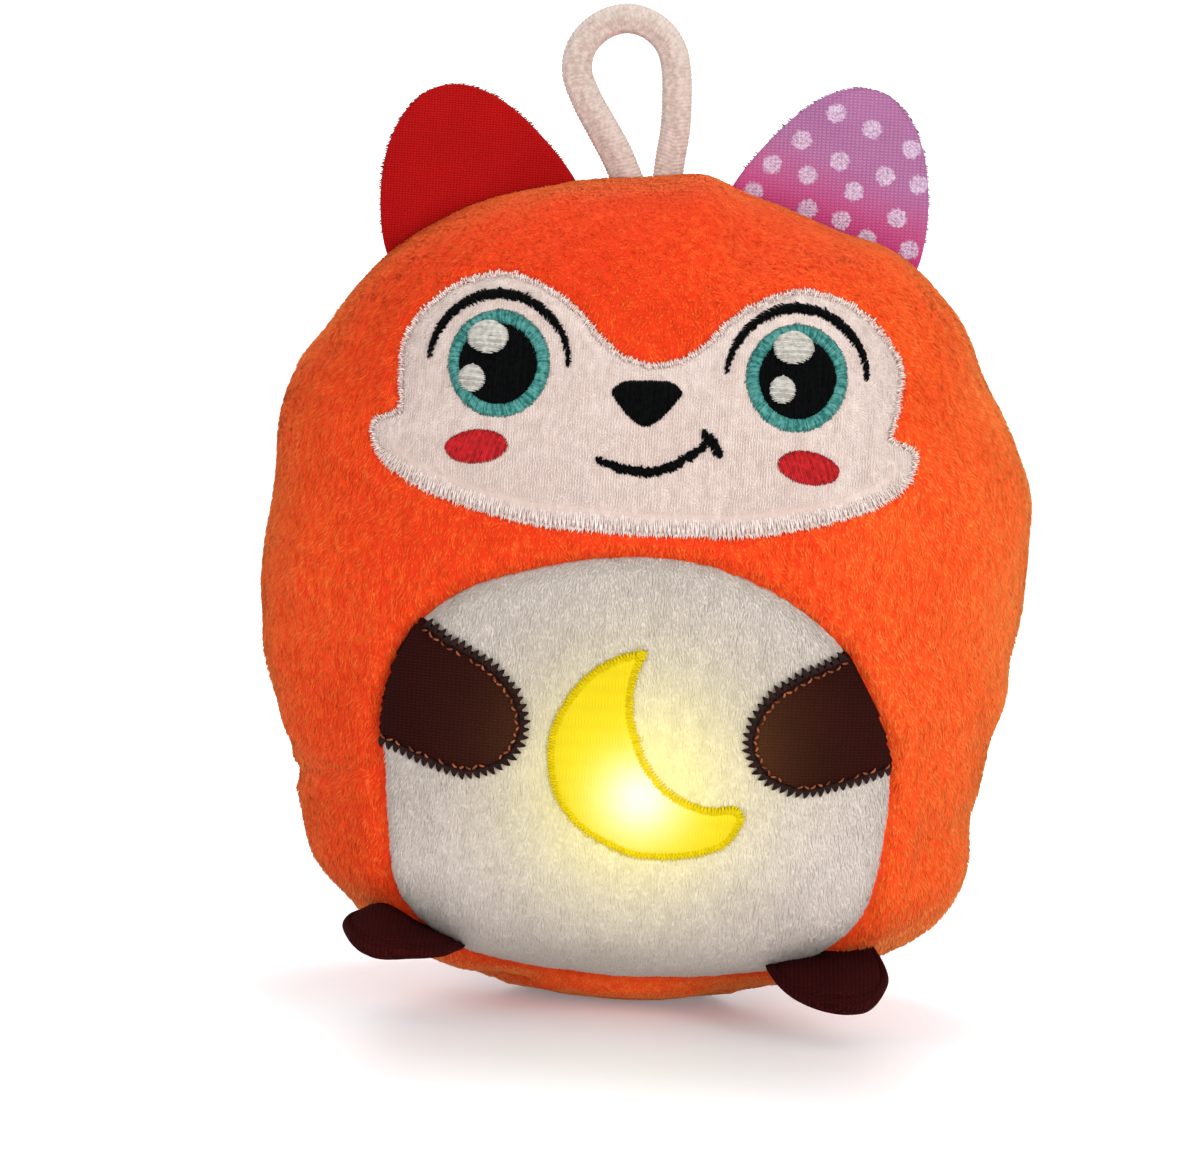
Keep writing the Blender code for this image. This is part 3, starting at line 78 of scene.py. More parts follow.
# Creases: a path in X and Z, its width and its depth, in millimetres
CREASES = (
    (((-61, 35.5), (-56, 35.8), (-50, 37.2), (-43, 40)), 1.7, 1.7),
    (((-62, 42), (-58, 40), (-51, 38)), 1.8, 0.9),
    (((-64, 60), (-57, 62), (-50, 67)), 3.5, 0.5),
    (((64, 58), (56, 63), (48, 70)), 3.5, 0.5),
    (((62, 36), (54, 33), (45, 26)), 3.0, 0.7),
    (((-58, 112), (-50, 104), (-47, 96)), 3.5, 0.6),
    (((56, 108), (50, 101), (47, 95)), 3.5, 0.6),
    (((-12, 137), (-14, 131), (-20, 125)), 3.0, 0.5),
    (((10, 137), (13, 130), (20, 124)), 3.0, 0.5),
)

# Outlines on the front of the skin, in millimetres in X and Z
FACE_X = -1.2
FACE_HALF = (
    (0, 107.3), (4.5, 108.4), (8.4, 111.2), (11.8, 114.9), (16.3, 118.0), (21, 119.9),
    (25, 120.4), (30.2, 119.0), (34.4, 116.4), (37.7, 112.9), (39.8, 108.9), (39.8, 104.0),
    (38.8, 97.9), (42.9, 96.2), (43.3, 95.2), (42.5, 91.5), (39.6, 88.7), (34, 85.8),
    (24.5, 83.1), (16.5, 81.7), (8, 81.3), (0, 81.1),
)
FACE_CORNERS = (0, 12, 13)
LOBE_LEAN = 0.55
BELLY = (
    (1, 77.7), (9, 77.1), (18.5, 74), (26.7, 69.7), (32.5, 64.6), (36.2, 59.2), (39.0, 53.8),
    (41.5, 47), (42.5, 41), (42.3, 35), (41.5, 28), (39.8, 20.5), (35.6, 14.4), (27.2, 8.4),
    (17, 6.5), (7, 5.6), (1, 5.4), (-5, 5.6), (-15, 6.5), (-25.4, 8.6), (-34, 14.4),
    (-38, 20.5), (-39.4, 28), (-40.1, 35), (-40.6, 41), (-41.2, 47), (-40.3, 54),
    (-38.7, 59.5), (-35.0, 65.4), (-28.0, 70.8), (-17.6, 74.6), (-7, 77.1),
)
MOON = (
    (1.2, 62.9), (-1.8, 62.4), (-4.8, 61.0), (-7.1, 59.3), (-10.2, 55.9), (-13.0, 49.9),
    (-13.3, 43.9), (-11.7, 38.4), (-8.1, 33.9), (-3.1, 31.0), (2.1, 29.5), (9.9, 30.0),
    (15.5, 32.1), (18.2, 36.6), (16.7, 38.6), (12.3, 38.3), (7.6, 39.9), (4.2, 42.5),
    (1.9, 45.8), (0.7, 48.9), (-0.3, 52.0), (-0.6, 55.5), (-0.1, 58.9),
)
MOON_TIPS = (0, 13)
PAW = (
    (-42.0, 67.4), (-33.8, 64.9), (-30, 62.5), (-25.9, 60.6), (-22, 57.9), (-19.2, 54.8),
    (-17.7, 50.6), (-18.1, 47.1), (-20.6, 43.5), (-24.9, 41.6), (-27.9, 41.5), (-32.7, 42.7),
    (-39.5, 44.9), (-42.0, 45.6),
)
PAW_X = 0.3
EYE_SPREAD = 23.0
EYE_Z = 106.0
NOSE = (
    (0, 97.6), (2.4, 99.0), (4.6, 101.6), (5.4, 103.1), (4.5, 104.3), (2.7, 104.8),
    (-2.7, 104.6), (-4.5, 104.0), (-5.4, 102.6), (-4.4, 101.0), (-2.4, 98.9),
)
MOUTH = (
    (-7.2, 92.3), (-4.7, 91.5), (-2.3, 91.0), (0.9, 90.8), (3.2, 91.3), (5.2, 92.3),
    (8.0, 94.2), (10.2, 96.2),
)
MOUTH_TICK = ((9.0, 97.4), (10.0, 96.6), (11.2, 95.2), (12.1, 93.8))
CHEEKS = (("left", -26.1, 93.0, 8.5, 70), ("right", 25.8, 92.7, -8.5, 110))
EAR_DOTS = (
    (27.4, 150.3), (33.6, 148.0), (22.0, 145.6), (28.5, 142.4), (40.3, 145.1), (17.3, 141.2),
    (23.3, 139.8), (36.2, 140.4), (41.9, 139.3), (31.1, 137.5), (14.5, 136.6), (23.6, 134.2),
    (29.3, 132.6), (38.6, 133.5), (33.8, 129.8), (41.0, 128.4),
)
LOOP = (
    (-4.3, 133), (-6.6, 137.2), (-8.7, 141.35), (-11.2, 145.4), (-14.2, 150.2),
    (-16.1, 154.8), (-15.4, 159.2), (-12.3, 162.6), (-8.1, 164.0), (-3.9, 162.9),
    (-0.9, 160.0), (0.4, 156.0), (0.8, 151.0), (0.8, 146.0), (0.3, 141.35), (0.0, 137.5),
    (-0.2, 133),
)

# The back, in millimetres: half width, lower and upper edge of the pouch's hole and of the flap
OPENING = (20.0, 34.0, 98.0)
FLAP = (23.5, 25.5, 102.5)
FLAP_CORNER = 6.0
CLOTH_GAP = 0.3
TAPE_THICK = 0.6


# Small sums that recur


def clamp(value):
    return np.clip(value, 0, 1)


def bell(value, centre, width, power=2):
    """1 at the centre, fading to 0 on both sides of it."""
    return np.exp(-(np.abs((value - centre) / width) ** power))


def gate(value):
    """From 0 to 1 as the value climbs past 0."""
    return 1 / (1 + np.exp(-value))


def rolled(depth, low, high, roll):
    """A cloth's height: low at its edge, rising to high over the roll."""
    return low + (high - low) * (1 - bell(depth, 0, roll, 1.3))


def unit(rows, least=1e-15):
    """The same directions with a length of 1. Rows shorter than least have none and stay short."""
    return rows / np.maximum(np.linalg.norm(rows, axis=-1, keepdims=True), least)


def waves(points, scale, seed, octaves=3):
    """A smooth, lumpy field from about -1 to 1."""
    rng = np.random.default_rng(seed)
    total = np.zeros(points.shape[:-1])
    for octave in range(octaves):
        for _ in range(4):
            way = rng.normal(size=3)
            way *= 2 * math.pi / (np.linalg.norm(way) * scale) * 1.9**octave
            total += np.sin(points @ way + rng.uniform(0, 6.3)) * 0.35 / 1.7**octave
    return total


# Curves and outlines


def spline(before, start, end, after, share):
    """The smooth curve from start to end that its neighbours ask for."""
    return 0.5 * (
        2 * start
        + (end - before) * share
        + (2 * before - 5 * start + 4 * end - after) * share**2
        + (3 * start - before - 3 * end + after) * share**3
    )


def smooth_path(points, steps):
    points = np.asarray(points, float)
    ends = np.vstack((2 * points[0] - points[1], points, 2 * points[-1] - points[-2]))
    shares = np.arange(steps)[:, None] / steps
    parts = [spline(*ends[i : i + 4], shares) for i in range(len(points) - 1)]
    return np.vstack((*parts, points[-1:]))


def smooth_outline(points, steps, corners=()):
    points = np.asarray(points, float)
    count = len(points)
    shares = np.arange(steps)[:, None] / steps
    parts = []
    for i in range(count):
        start, end = points[i], points[(i + 1) % count]
        before = start if i in corners else points[i - 1]
        after = end if (i + 1) % count in corners else points[(i + 2) % count]
        parts.append(spline(before, start, end, after, shares))
    return np.vstack(parts)


def mirrored(half, middle):
    right = np.array(half, float) + (middle, 0)
    left = right[1:-1][::-1] * (-1, 1) + (2 * middle, 0)
    return np.vstack((right, left))


def ellipse(x, z, half_width, half_height, tilt=0.0, count=48):
    angle = np.arange(count) * 2 * math.pi / count
    a, b = half_width * np.cos(angle), half_height * np.sin(angle)
    right = x + a * math.cos(tilt) - b * math.sin(tilt)
    return np.column_stack((right, z + a * math.sin(tilt) + b * math.cos(tilt)))


def arc(x, z, radius, start, end, count):
    angle = np.radians(np.linspace(start, end, count))
    return np.column_stack((x + radius * np.cos(angle), z + radius * np.sin(angle)))


def rounded_box(half_width, low, high, corner):
    """An upright rectangle with round corners, in X and Z."""
    right, top, bottom = half_width - corner, high - corner, low + corner
    middles = ((right, top), (-right, top), (-right, bottom), (right, bottom))
    return np.vstack([arc(*m, corner, 90 * i, 90 * i + 90, 8) for i, m in enumerate(middles)])


def reach_along(path):
    """How far along a path each of its points lies."""
    return np.concatenate(((0,), np.cumsum(np.linalg.norm(np.diff(path, axis=0), axis=1))))


def at_reach(values, reach, at):
    return np.column_stack([np.interp(at, reach, column) for column in values.T])


def resampled(path, pitch, closed=False, count=None):
    """Points a pitch apart along a path, or count of them, with the path's direction at each."""
    line = np.vstack((path, path[:1])) if closed else path
    reach = reach_along(line)
    count = count or max(int(round(reach[-1] / pitch)), 2)
    spots = at_reach(line, reach, np.linspace(0, reach[-1], count, endpoint=not closed))
    if closed:
        along = np.roll(spots, -1, axis=0) - np.roll(spots, 1, axis=0)
    else:
        along = np.gradient(spots, axis=0)
    return spots, unit(along)


def leftwards(along):
    """The directions at a right angle to those of a path in X and Z."""
    return np.column_stack((-along[:, 1], along[:, 0]))


def inside(points, outline):
    """Which points lie inside the outline."""
    x, z = points[:, 0][:, None], points[:, 1][:, None]
    ax, az = outline[:, 0], outline[:, 1]
    bx, bz = np.roll(ax, -1), np.roll(az, -1)
    spans = (az > z) != (bz > z)
    cross = ax + (z - az) * (bx - ax) / np.where(bz == az, 1e-9, bz - az)
    return (spans & (x < cross)).sum(axis=1) % 2 == 1


def off_segment(points, start, end):
    """The share of a segment that each point lies beside, and how far off it is."""
    run = end - start
    share = clamp(((points - start) @ run) / (run @ run))
    return share, np.linalg.norm(points - start - share[..., None] * run, axis=-1)


def depth_in(points, outline):
    """How far inside the outline each point lies, or below zero outside it."""
    best = np.full(len(points), np.inf)
    for start, end in zip(outline, np.roll(outline, -1, axis=0), strict=True):
        best = np.minimum(best, off_segment(points, start, end)[1])
    return np.where(inside(points, outline), best, -best)


def shaped_face():
    """The face patch's outline. Both of its upper lobes lean to the right."""
    points = mirrored(FACE_HALF, FACE_X)
    points[:, 0] += LOBE_LEAN * clamp((points[:, 1] - 97) / 12)
    last = 2 * (len(FACE_HALF) - 1)
    return smooth_outline(points, 4, {*FACE_CORNERS, *(last - c for c in FACE_CORNERS)})


face_outline = shaped_face()
belly_outline = smooth_outline(BELLY, 4)
moon_outline = smooth_outline(MOON, 4, MOON_TIPS)


# The skin: a place on it is a turn about the body and a climb from 0 to 1

SWELL_TURNS, SWELL_ROWS = 72, 46
SWELL_FROM, SWELL_TO = 0.004, 0.985
SWELL_LEAST, SWELL_MOST = -0.0009, 0.0006


def profile_at(climb):
    table = np.vstack((2 * PROFILE[0] - PROFILE[1], PROFILE, PROFILE[-2] * (1, -1)))
    place = clamp(climb) * (len(PROFILE) - 1)
    step = np.minimum(place.astype(int), len(PROFILE) - 2)
    return spline(*(table[step + k] for k in range(4)), (place - step)[..., None])


def body_points(turn, climb):
    shares = profile_at(climb)
    across = [np.sign(v) * np.abs(v) ** (2 / ROUNDNESS) for v in (np.cos(turn), np.sin(turn))]
    aside = BODY[0] / 2 * shares[..., 1] * across[0]
    forward = BODY[1] / 2 * shares[..., 1] * across[1]
    height = BODY[2] * shares[..., 0]
    rim = (forward / 0.015) ** 2 + (aside / np.where(aside > 0, 0.021, 0.03)) ** 2
    lift = BASE_LIFT * clamp(rim) * clamp(0.3 - forward / 0.01)
    lift = lift + CORNER_LIFT * bell(np.abs(aside), 0.0195, 0.006)
    return np.stack((aside, forward, height + lift * bell(height, 0, 0.008)), axis=-1)


def body_normals(turn, climb):
    step = 0.002
    low, high = np.clip(climb - step, 0, 1 - step), np.clip(climb + step, step, 1 - step)
    along = body_points(turn, high) - body_points(turn, low)
    around = body_points(turn + step, climb) - body_points(turn - step, climb)
    normal = np.cross(around, along)
    size = np.linalg.norm(normal, axis=-1, keepdims=True)
    normal = np.where(size > 1e-12, normal / np.maximum(size, 1e-12), UP)
    return np.where((climb > 0.995)[..., None], UP, normal)


def ridge(points, path, width):
    """1 on a path in X and Z on the front of the skin, fading out at its sides and ends."""
    path = np.array(path, float)
    best = np.zeros(points.shape[:-1])
    count = len(path) - 1
    for i in range(count):
        share, away = off_segment(points[..., (0, 2)] / MM, path[i], path[i + 1])
        fade = np.sin(math.pi * np.clip((i + share) / count, 0.08, 0.92)) ** 0.5
        best = np.maximum(best, bell(away, 0, width) * fade)
    return best * gate(3 - points[..., 1] / MM / 2)


def side_bulge(points, normals):
    """How far each side stands out or is drawn in at its height, in millimetres."""
    height, sideways = points[..., 2] / MM, normals[..., 0]
    left, right = (np.interp(height, *smooth_path(b, 4).T) for b in (LEFT_BULGE, RIGHT_BULGE))
    return np.where(sideways < 0, left, right) * clamp(np.abs(sideways) * 1.3 - 0.3)


def relief(points, normals):
    """The filling's lumps and the creases that the seams pull, in metres along the normals."""
    aside, ahead, height = np.moveaxis(points / MM, -1, 0)
    shift = 0.45 * waves(points, 0.045, 3) + 0.15 * waves(points, 0.017, 4) - 0.3
    shift += side_bulge(points, normals)
    shift -= 0.9 * bell(ahead, 0, 1.6) * (height > 4)
    for path, width, depth in CREASES:
        shift -= depth * ridge(points, path, width)
    shift -= 0.5 * bell(height, 3.2, 1.3)
    shift -= 2.5 * bell(height, 4, 6) * clamp(-normals[..., 1] * 2)
    crown = 2.4 * bell(aside, 23.3, 12.5, 4) - 1.8 * bell(aside, 6.5, 4.5)
    shift -= crown * bell(height, 133, 7) * gate(4 - ahead / 3)
    return shift * clamp(height / 3) * MM


def grid_faces(rows, columns, closed=False):
    across = columns if closed else columns - 1
    r, c = np.meshgrid(np.arange(rows - 1), np.arange(across), indexing="ij")
    a, b = r * columns + c, r * columns + (c + 1) % columns
    halves = ((a, b, b + columns), (a, b + columns, a + columns))
    return np.concatenate([np.stack(half, -1).reshape(-1, 3) for half in halves])


def facings(vertices, faces):
    """Each triangle's normal, twice as long as its area."""
    a, b, c = (vertices[faces[:, k]] for k in range(3))
    return np.cross(b - a, c - a)


def vertex_normals(vertices, faces):
    total = np.zeros_like(vertices)
    for k in range(3):
        np.add.at(total, faces[:, k], facings(vertices, faces))
    return unit(total)


def placed(name, data):
    """An object of its own in the scene."""
    made = bpy.data.objects.new(name, data)
    bpy.context.scene.collection.objects.link(made)
    return made


def simulated(vertices, faces, held, frames=16):
    """The places of a cloth blown up from inside, held fast at some of its points."""
    mesh = bpy.data.meshes.new("stuffed_skin")
    mesh.from_pydata(vertices.tolist(), [], faces.tolist())
    made = placed("stuffed_skin", mesh)
    scene = bpy.context.scene
    made.vertex_groups.new(name="held").add(held.tolist(), 1.0, "REPLACE")
    cloth = made.modifiers.new("cloth", "CLOTH")
    cloth.settings.vertex_group_mass = "held"
    cloth.settings.quality = 6
    cloth.settings.use_pressure = True
    cloth.settings.uniform_pressure_force = 4
    cloth.settings.effector_weights.gravity = 0
    cloth.point_cache.frame_start = 1
    cloth.point_cache.frame_end = frames
    for number in range(1, frames + 1):
        scene.frame_set(number)
    ready = made.evaluated_get(bpy.context.evaluated_depsgraph_get())
    places = np.array([tuple(v.co) for v in ready.data.vertices])
    scene.frame_set(1)
    bpy.data.objects.remove(made)
    bpy.data.meshes.remove(mesh)
    return places


def settled_skin():
    """How far the stuffing swells the cloth between its seams, from a cloth simulation."""
    shape = (SWELL_ROWS, SWELL_TURNS)
    turns = np.linspace(0, 2 * math.pi, SWELL_TURNS + 1)[:-1]
    turn, climb = np.meshgrid(turns, np.linspace(SWELL_FROM, SWELL_TO, SWELL_ROWS))
    points, normals = body_points(turn, climb), body_normals(turn, climb)
    points = points + normals * relief(points, normals)[..., None]
    flat = points[..., (0, 2)].reshape(-1, 2) / MM
    held = np.abs(depth_in(flat, belly_outline)) < 1.5
    held |= np.abs(depth_in(flat, face_outline)) < 1.3
    held &= points[..., 1].ravel() < 0
    held |= (np.abs(np.sin(turn)) < 0.01).ravel()
    held |= (flat[:, 1] < 3.5) | (flat[:, 1] > 135.5)
    ends = np.array((points[0].mean(axis=0), points[-1].mean(axis=0)))
    count = SWELL_ROWS * SWELL_TURNS
    around = np.arange(SWELL_TURNS)
    after = (around + 1) % SWELL_TURNS
    last = count - SWELL_TURNS
    base = np.stack((np.full(SWELL_TURNS, count), after, around), axis=1)
    crown = np.stack((np.full(SWELL_TURNS, count + 1), last + around, last + after), axis=1)
    start = np.vstack((points.reshape(-1, 3), ends))
    faces = np.vstack((grid_faces(*shape, closed=True), base, crown))
    places = simulated(start, faces, np.append(np.flatnonzero(held), (count, count + 1)))
    swell = ((places - start)[:count] * normals.reshape(-1, 3)).sum(axis=1).reshape(shape)
    return np.clip(swell - 0.6 * swell.max(), SWELL_LEAST, SWELL_MOST)


swelling = settled_skin()


def swell_at(turn, climb):
    across = np.mod(turn / (2 * math.pi), 1) * SWELL_TURNS
    up = np.clip((climb - SWELL_FROM) / (SWELL_TO - SWELL_FROM), 0, 0.9999) * (SWELL_ROWS - 1)
    column, row = across.astype(int) % SWELL_TURNS, up.astype(int)
    u, v = across % 1, up - row
    lower, upper = (
        swelling[r, column] * (1 - u) + swelling[r, (column + 1) % SWELL_TURNS] * u
        for r in (row, row + 1)
    )
    return (lower * (1 - v) + upper * v) * clamp(climb / 0.03)


def skin_grid(turns, climbs):
    turn, climb = np.meshgrid(turns, climbs)
    points, normals = body_points(turn, climb), body_normals(turn, climb)
    return points + normals * (relief(points, normals) + swell_at(turn, climb))[..., None]


SKIN_ROWS, SKIN_TURNS = 200, 320
skin_vertices = skin_grid(
    np.linspace(0, 2 * math.pi, SKIN_TURNS + 1)[:-1], np.linspace(0, 1, SKIN_ROWS)
).reshape(-1, 3)
skin_faces = grid_faces(SKIN_ROWS, SKIN_TURNS, closed=True)
skin_smooth = vertex_normals(skin_vertices, skin_faces)
skin_tree = BVHTree.FromPolygons(skin_vertices.tolist(), skin_faces.tolist())


def on_skin(flat, lift, front=True):
    """Places on the skin at X and Z, raised by lift, all in millimetres, and their normals."""
    flat = np.atleast_2d(flat)
    lift = np.broadcast_to(lift, len(flat))
    way = Vector((0, 1 if front else -1, 0))
    start = -0.2 if front else 0.2
    places, normals = [], []
    for x, z in flat * MM:
        hit, normal, face, _ = skin_tree.ray_cast(Vector((x, start, z)), way)
        if hit is None:
            hit, normal, face, _ = skin_tree.find_nearest(Vector((x, start / 6, z)))
        corners = skin_faces[face]
        weights = 1 / (np.linalg.norm(skin_vertices[corners] - np.array(hit), axis=1) + 1e-6)
        places.append(hit)
        normals.append((skin_smooth[corners] * weights[:, None]).sum(axis=0))
    normals = unit(np.array(normals))
    return np.array(places) + normals * (lift * MM)[:, None], normals


# Meshes


def piece(name, vertices, faces, finish, normals=None, fields=None):
    """A mesh object, with its own normals and point attributes where they are given."""
    mesh = bpy.data.meshes.new(name)
    mesh.from_pydata(vertices.tolist(), [], faces if isinstance(faces, list) else faces.tolist())
    mesh.shade_smooth()
    for key, values in (fields or {}).items():
        data = mesh.attributes.new(key, "FLOAT", "POINT").data
        data.foreach_set("value", np.asarray(values, np.float32))
    mesh.materials.append(finish)
    if normals is not None:
        mesh.normals_split_custom_set_from_vertices(normals.tolist())
    return placed(name, mesh)


def dressed(made, body, slot, *nodes):
    """Names what a piece rides on and the nodes that it stands for, and hides those nodes. The slot
    is not used.
    """
    if body:
        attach(made, body)
    if nodes:
        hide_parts(*nodes)
    return made


def hinged(made):
    """Bakes a piece's placement into its mesh."""
    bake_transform(made)


def blades(roots, normals, ways, length, width, seed):
    """Tufts of pile: a slim closed spike at each root, leaning along its way."""
    rng = np.random.default_rng(seed)
    count = len(roots)
    size = length * rng.uniform(0.75, 1.25, count)[:, None]
    slim = width * rng.uniform(0.8, 1.2, count)[:, None]
    side = unit(np.cross(normals, ways), 1e-9)
    spin = rng.uniform(0, 2 * math.pi, count)[:, None]
    u = side * np.cos(spin) + np.cross(normals, side) * np.sin(spin)
    v = np.cross(normals, u)
    sunk = roots - normals * size * 0.15
    thirds = np.arange(3) * 2 * math.pi / 3
    ring = [sunk + slim / 2 * (u * math.cos(a) + v * math.sin(a)) for a in thirds]
    vertices = np.stack((*ring, roots + ways * size), axis=1).reshape(-1, 3)
    pattern = np.array(((0, 1, 3), (1, 2, 3), (2, 0, 3)))
    faces = (np.arange(count)[:, None, None] * 4 + pattern).reshape(-1, 3)
    lean = normals + 0.55 * ways
    shading = unit(np.stack((normals, normals, normals, lean), axis=1).reshape(-1, 3))
    tips = np.tile((0.15, 0.15, 0.15, 1.0), count)
    return vertices, faces, shading, tips, np.repeat(rng.uniform(0, 1, count), 4)


def scattered(vertices, faces, count, seed):
    """Places strewn evenly over a mesh, with the smooth normal at each."""
    rng = np.random.default_rng(seed)
    reach = np.cumsum(np.linalg.norm(facings(vertices, faces), axis=1))
    at = (np.arange(count) + rng.uniform(0, 1, count)) / count * reach[-1]
    picked = np.minimum(np.searchsorted(reach, at), len(faces) - 1)
    a, b = rng.uniform(0, 1, (2, count))
    flip = a + b > 1
    a, b = np.where(flip, 1 - a, a), np.where(flip, 1 - b, b)
    weights = np.stack((1 - a - b, a, b), axis=1)[..., None]
    smooth = vertex_normals(vertices, faces)[faces[picked]]
    places = (vertices[faces[picked]] * weights).sum(axis=1)
    return places, unit((smooth * weights).sum(axis=1))


def nap(places, normals, lean, ruffle, seed):
    """The way the pile lies: down the body, ruffled, and raised by what lean leaves."""
    down = unit(-UP - normals * (-normals @ UP)[:, None], 1e-6)
    aside = np.cross(normals, down)
    swing = ruffle * (waves(places, 0.022, seed, 2) + 1.5 * waves(places, 0.0042, seed + 1, 2))
    flat = down * np.cos(swing)[:, None] + aside * np.sin(swing)[:, None]
    tilt = np.radians(lean + 5 * waves(places, 0.004, seed + 2, 2))
    return flat * np.sin(tilt)[:, None] + normals * np.cos(tilt)[:, None]


def with_pile(name, vertices, faces, finish, tuft, painted_shading=None):
    """A cloth piece and the tufts that stand on it, as one mesh."""
    tufts, tuft_faces, tuft_normals, tips, tone = tuft
    # Painted shading, where it is given, darkens or lightens the tufts' tone.
    if painted_shading is not None:
        tone = tone * 0.4 + painted_shading * 0.5
    return piece(
        name,
        np.vstack((vertices, tufts)),
        np.vstack((faces, tuft_faces + len(vertices))),
        finish,
        np.vstack((vertex_normals(vertices, faces), tuft_normals)),
        {
            "tip": np.concatenate((np.zeros(len(vertices)), tips)),
            "tone": np.concatenate((np.full(len(vertices), 0.4), tone)),
        },
    )


def plush(name, sheet, finish, count, keep, seed, length, width, lean=69, ruffle=0.35, outer=False):
    """A cloth piece with its pile: the cloth itself and tufts wherever keep allows them."""
    vertices, faces = sheet
    ground = faces[(faces < len(vertices) // 2).all(axis=1)] if outer else faces
    roots, normals = scattered(vertices, ground, count, seed)
    kept = keep(roots)
    roots, normals = roots[kept], normals[kept]
    ways = nap(roots, normals, lean, ruffle, seed)
    clump = 1 + 0.16 * waves(roots, 0.004, seed + 5, 2)
    low = np.clip(roots[:, 2] / 0.014, 0.4, 1) * np.clip((0.142 - roots[:, 2]) / 0.024, 0.45, 1)
    tuft = blades(roots, normals, ways, length * MM * (clump * low)[:, None], width * MM, seed)
    return with_pile(name, vertices, faces, finish, tuft)


def closed_sheet(outer, inner, faces):
    """A sheet with a back and a rim."""
    count = len(outer)
    edges = np.vstack((faces[:, (0, 1)], faces[:, (1, 2)], faces[:, (2, 0)]))
    known = {tuple(e) for e in edges.tolist()}
    rim = np.array([(a, b) for a, b in sorted(known) if (b, a) not in known])
    a, b = rim[:, 0], rim[:, 1]
    walls = [np.stack(wall, axis=1) for wall in ((b, a, a + count), (b, a + count, b + count))]
    return np.vstack((outer, inner)), np.vstack((faces, faces[:, ::-1] + count, *walls))


def mosaic(outline, pitch):
    """Triangles that fill an outline in X and Z."""
    rim, _ = resampled(outline, pitch, closed=True)
    low, high = rim.min(axis=0), rim.max(axis=0)
    rows = []
    for i, z in enumerate(np.arange(low[1], high[1], pitch * 0.87)):
        x = np.arange(low[0] + (i % 2) * pitch / 2, high[0], pitch)
        rows.append(np.column_stack((x, np.full_like(x, z))))
    grid = np.vstack(rows)
    spots = np.vstack((rim, grid[depth_in(grid, rim) > pitch * 0.5]))
    loop = list(range(len(rim)))
    made = delaunay_2d_cdt([Vector(p) for p in spots.tolist()], [], [loop], 1, 1e-5)
    points = np.array([tuple(p) for p in made[0]])
    faces = np.array([f for f in made[2] if len(f) == 3])
    a, b, c = (points[faces[:, k]] for k in range(3))
    turned = (b - a)[:, 0] * (c - a)[:, 1] < (b - a)[:, 1] * (c - a)[:, 0]
    faces[turned] = faces[turned][:, ::-1]
    return points, faces


def cloth_patch(outline, pitch, low, high, roll, thick):
    """A sewn patch on the skin's front: low at its edge, rising to high over the roll."""
    flat, faces = mosaic(outline, pitch)
    lift = rolled(np.maximum(depth_in(flat, outline), 0), low, high, roll)
    outer, normals = on_skin(flat, lift)
    return closed_sheet(outer, outer - normals * thick * MM, faces)


THREAD_SIDES = 6
THREAD_TAPER = 0.55


def threads(name, flats, lifts, radius, finish, squash=0.75, front=True):
    """Threads on the skin, from paths in X and Z with their lifts, in millimetres."""
    spots, ups = on_skin(np.vstack(flats), np.concatenate(lifts), front)
    cuts = np.cumsum([len(flat) for flat in flats])[:-1]
    sides = np.arange(THREAD_SIDES)
    angle = sides * 2 * math.pi / THREAD_SIDES
    rng = np.random.default_rng(11)
    vertices, faces, tone = [], [], []
    first = 0
    for places, up in zip(np.split(spots, cuts), np.split(ups, cuts), strict=True):
        count = len(places)
        run = unit(np.gradient(places, axis=0))
        side = unit(np.cross(run, up))
        offset = side[:, None] * np.cos(angle)[None, :, None]
        offset = offset + np.cross(side, run)[:, None] * (squash * np.sin(angle))[None, :, None]
        taper = np.ones(count)
        taper[0] = taper[-1] = THREAD_TAPER
        vertices.append((places[:, None] + offset * (radius * MM * taper)[:, None, None]))
        k, j = np.meshgrid(np.arange(count - 1) * THREAD_SIDES, sides, indexing="ij")
        a, b = first + k + j, first + k + (j + 1) % THREAD_SIDES
        quads = np.stack((a, b, b + THREAD_SIDES, a + THREAD_SIDES), axis=-1)
        faces += quads.reshape(-1, 4).tolist()
        faces.append((first + sides[::-1]).tolist())
        first += count * THREAD_SIDES
        faces.append((first - THREAD_SIDES + sides).tolist())
        tone.append(np.full(count * THREAD_SIDES, rng.uniform()))
    fields = {"tone": np.concatenate(tone)}
    return piece(name, np.vstack(vertices).reshape(-1, 3), faces, finish, fields=fields)


def fill_rows(outline, degrees, pitch, stitch, low, high, roll, seed):
    """Rows of thread that fill an outline: paths in X and Z, and their lifts."""
    rng = np.random.default_rng(seed)
    turn = math.radians(degrees)
    spin = np.array(((math.cos(turn), -math.sin(turn)), (math.sin(turn), math.cos(turn))))
    ring = outline @ spin
    after = np.roll(ring, -1, axis=0)
    flats, lifts = [], []
    levels = np.arange(ring[:, 1].min() + pitch / 2, ring[:, 1].max(), pitch)
    for number, level in enumerate(levels):
        cut = (ring[:, 1] > level) != (after[:, 1] > level)
        share = (level - ring[cut, 1]) / (after[cut, 1] - ring[cut, 1])
        crossings = np.sort(ring[cut, 0] + share * (after[cut, 0] - ring[cut, 0]))
        for start, end in zip(crossings[::2], crossings[1::2], strict=False):
            start, end = start + rng.normal(0, 0.06), end + rng.normal(0, 0.06)
            if end - start < 0.3:
                continue
            count = max(int((end - start) / 0.45), 4)
            x = np.linspace(start, end, count)
            z = np.full(count, level) + rng.normal(0, 0.02, count)
            lift = low + (high - low) * (1 - np.exp(-np.minimum(x - start, end - x) / roll))
            phase = (x + (number % 3) * stitch / 3) / stitch % 1
            flats.append(np.column_stack((x, z)) @ spin.T)
            lifts.append(lift - 0.1 * np.exp(-((phase - 0.5) ** 2) / 0.006))
    return flats, lifts


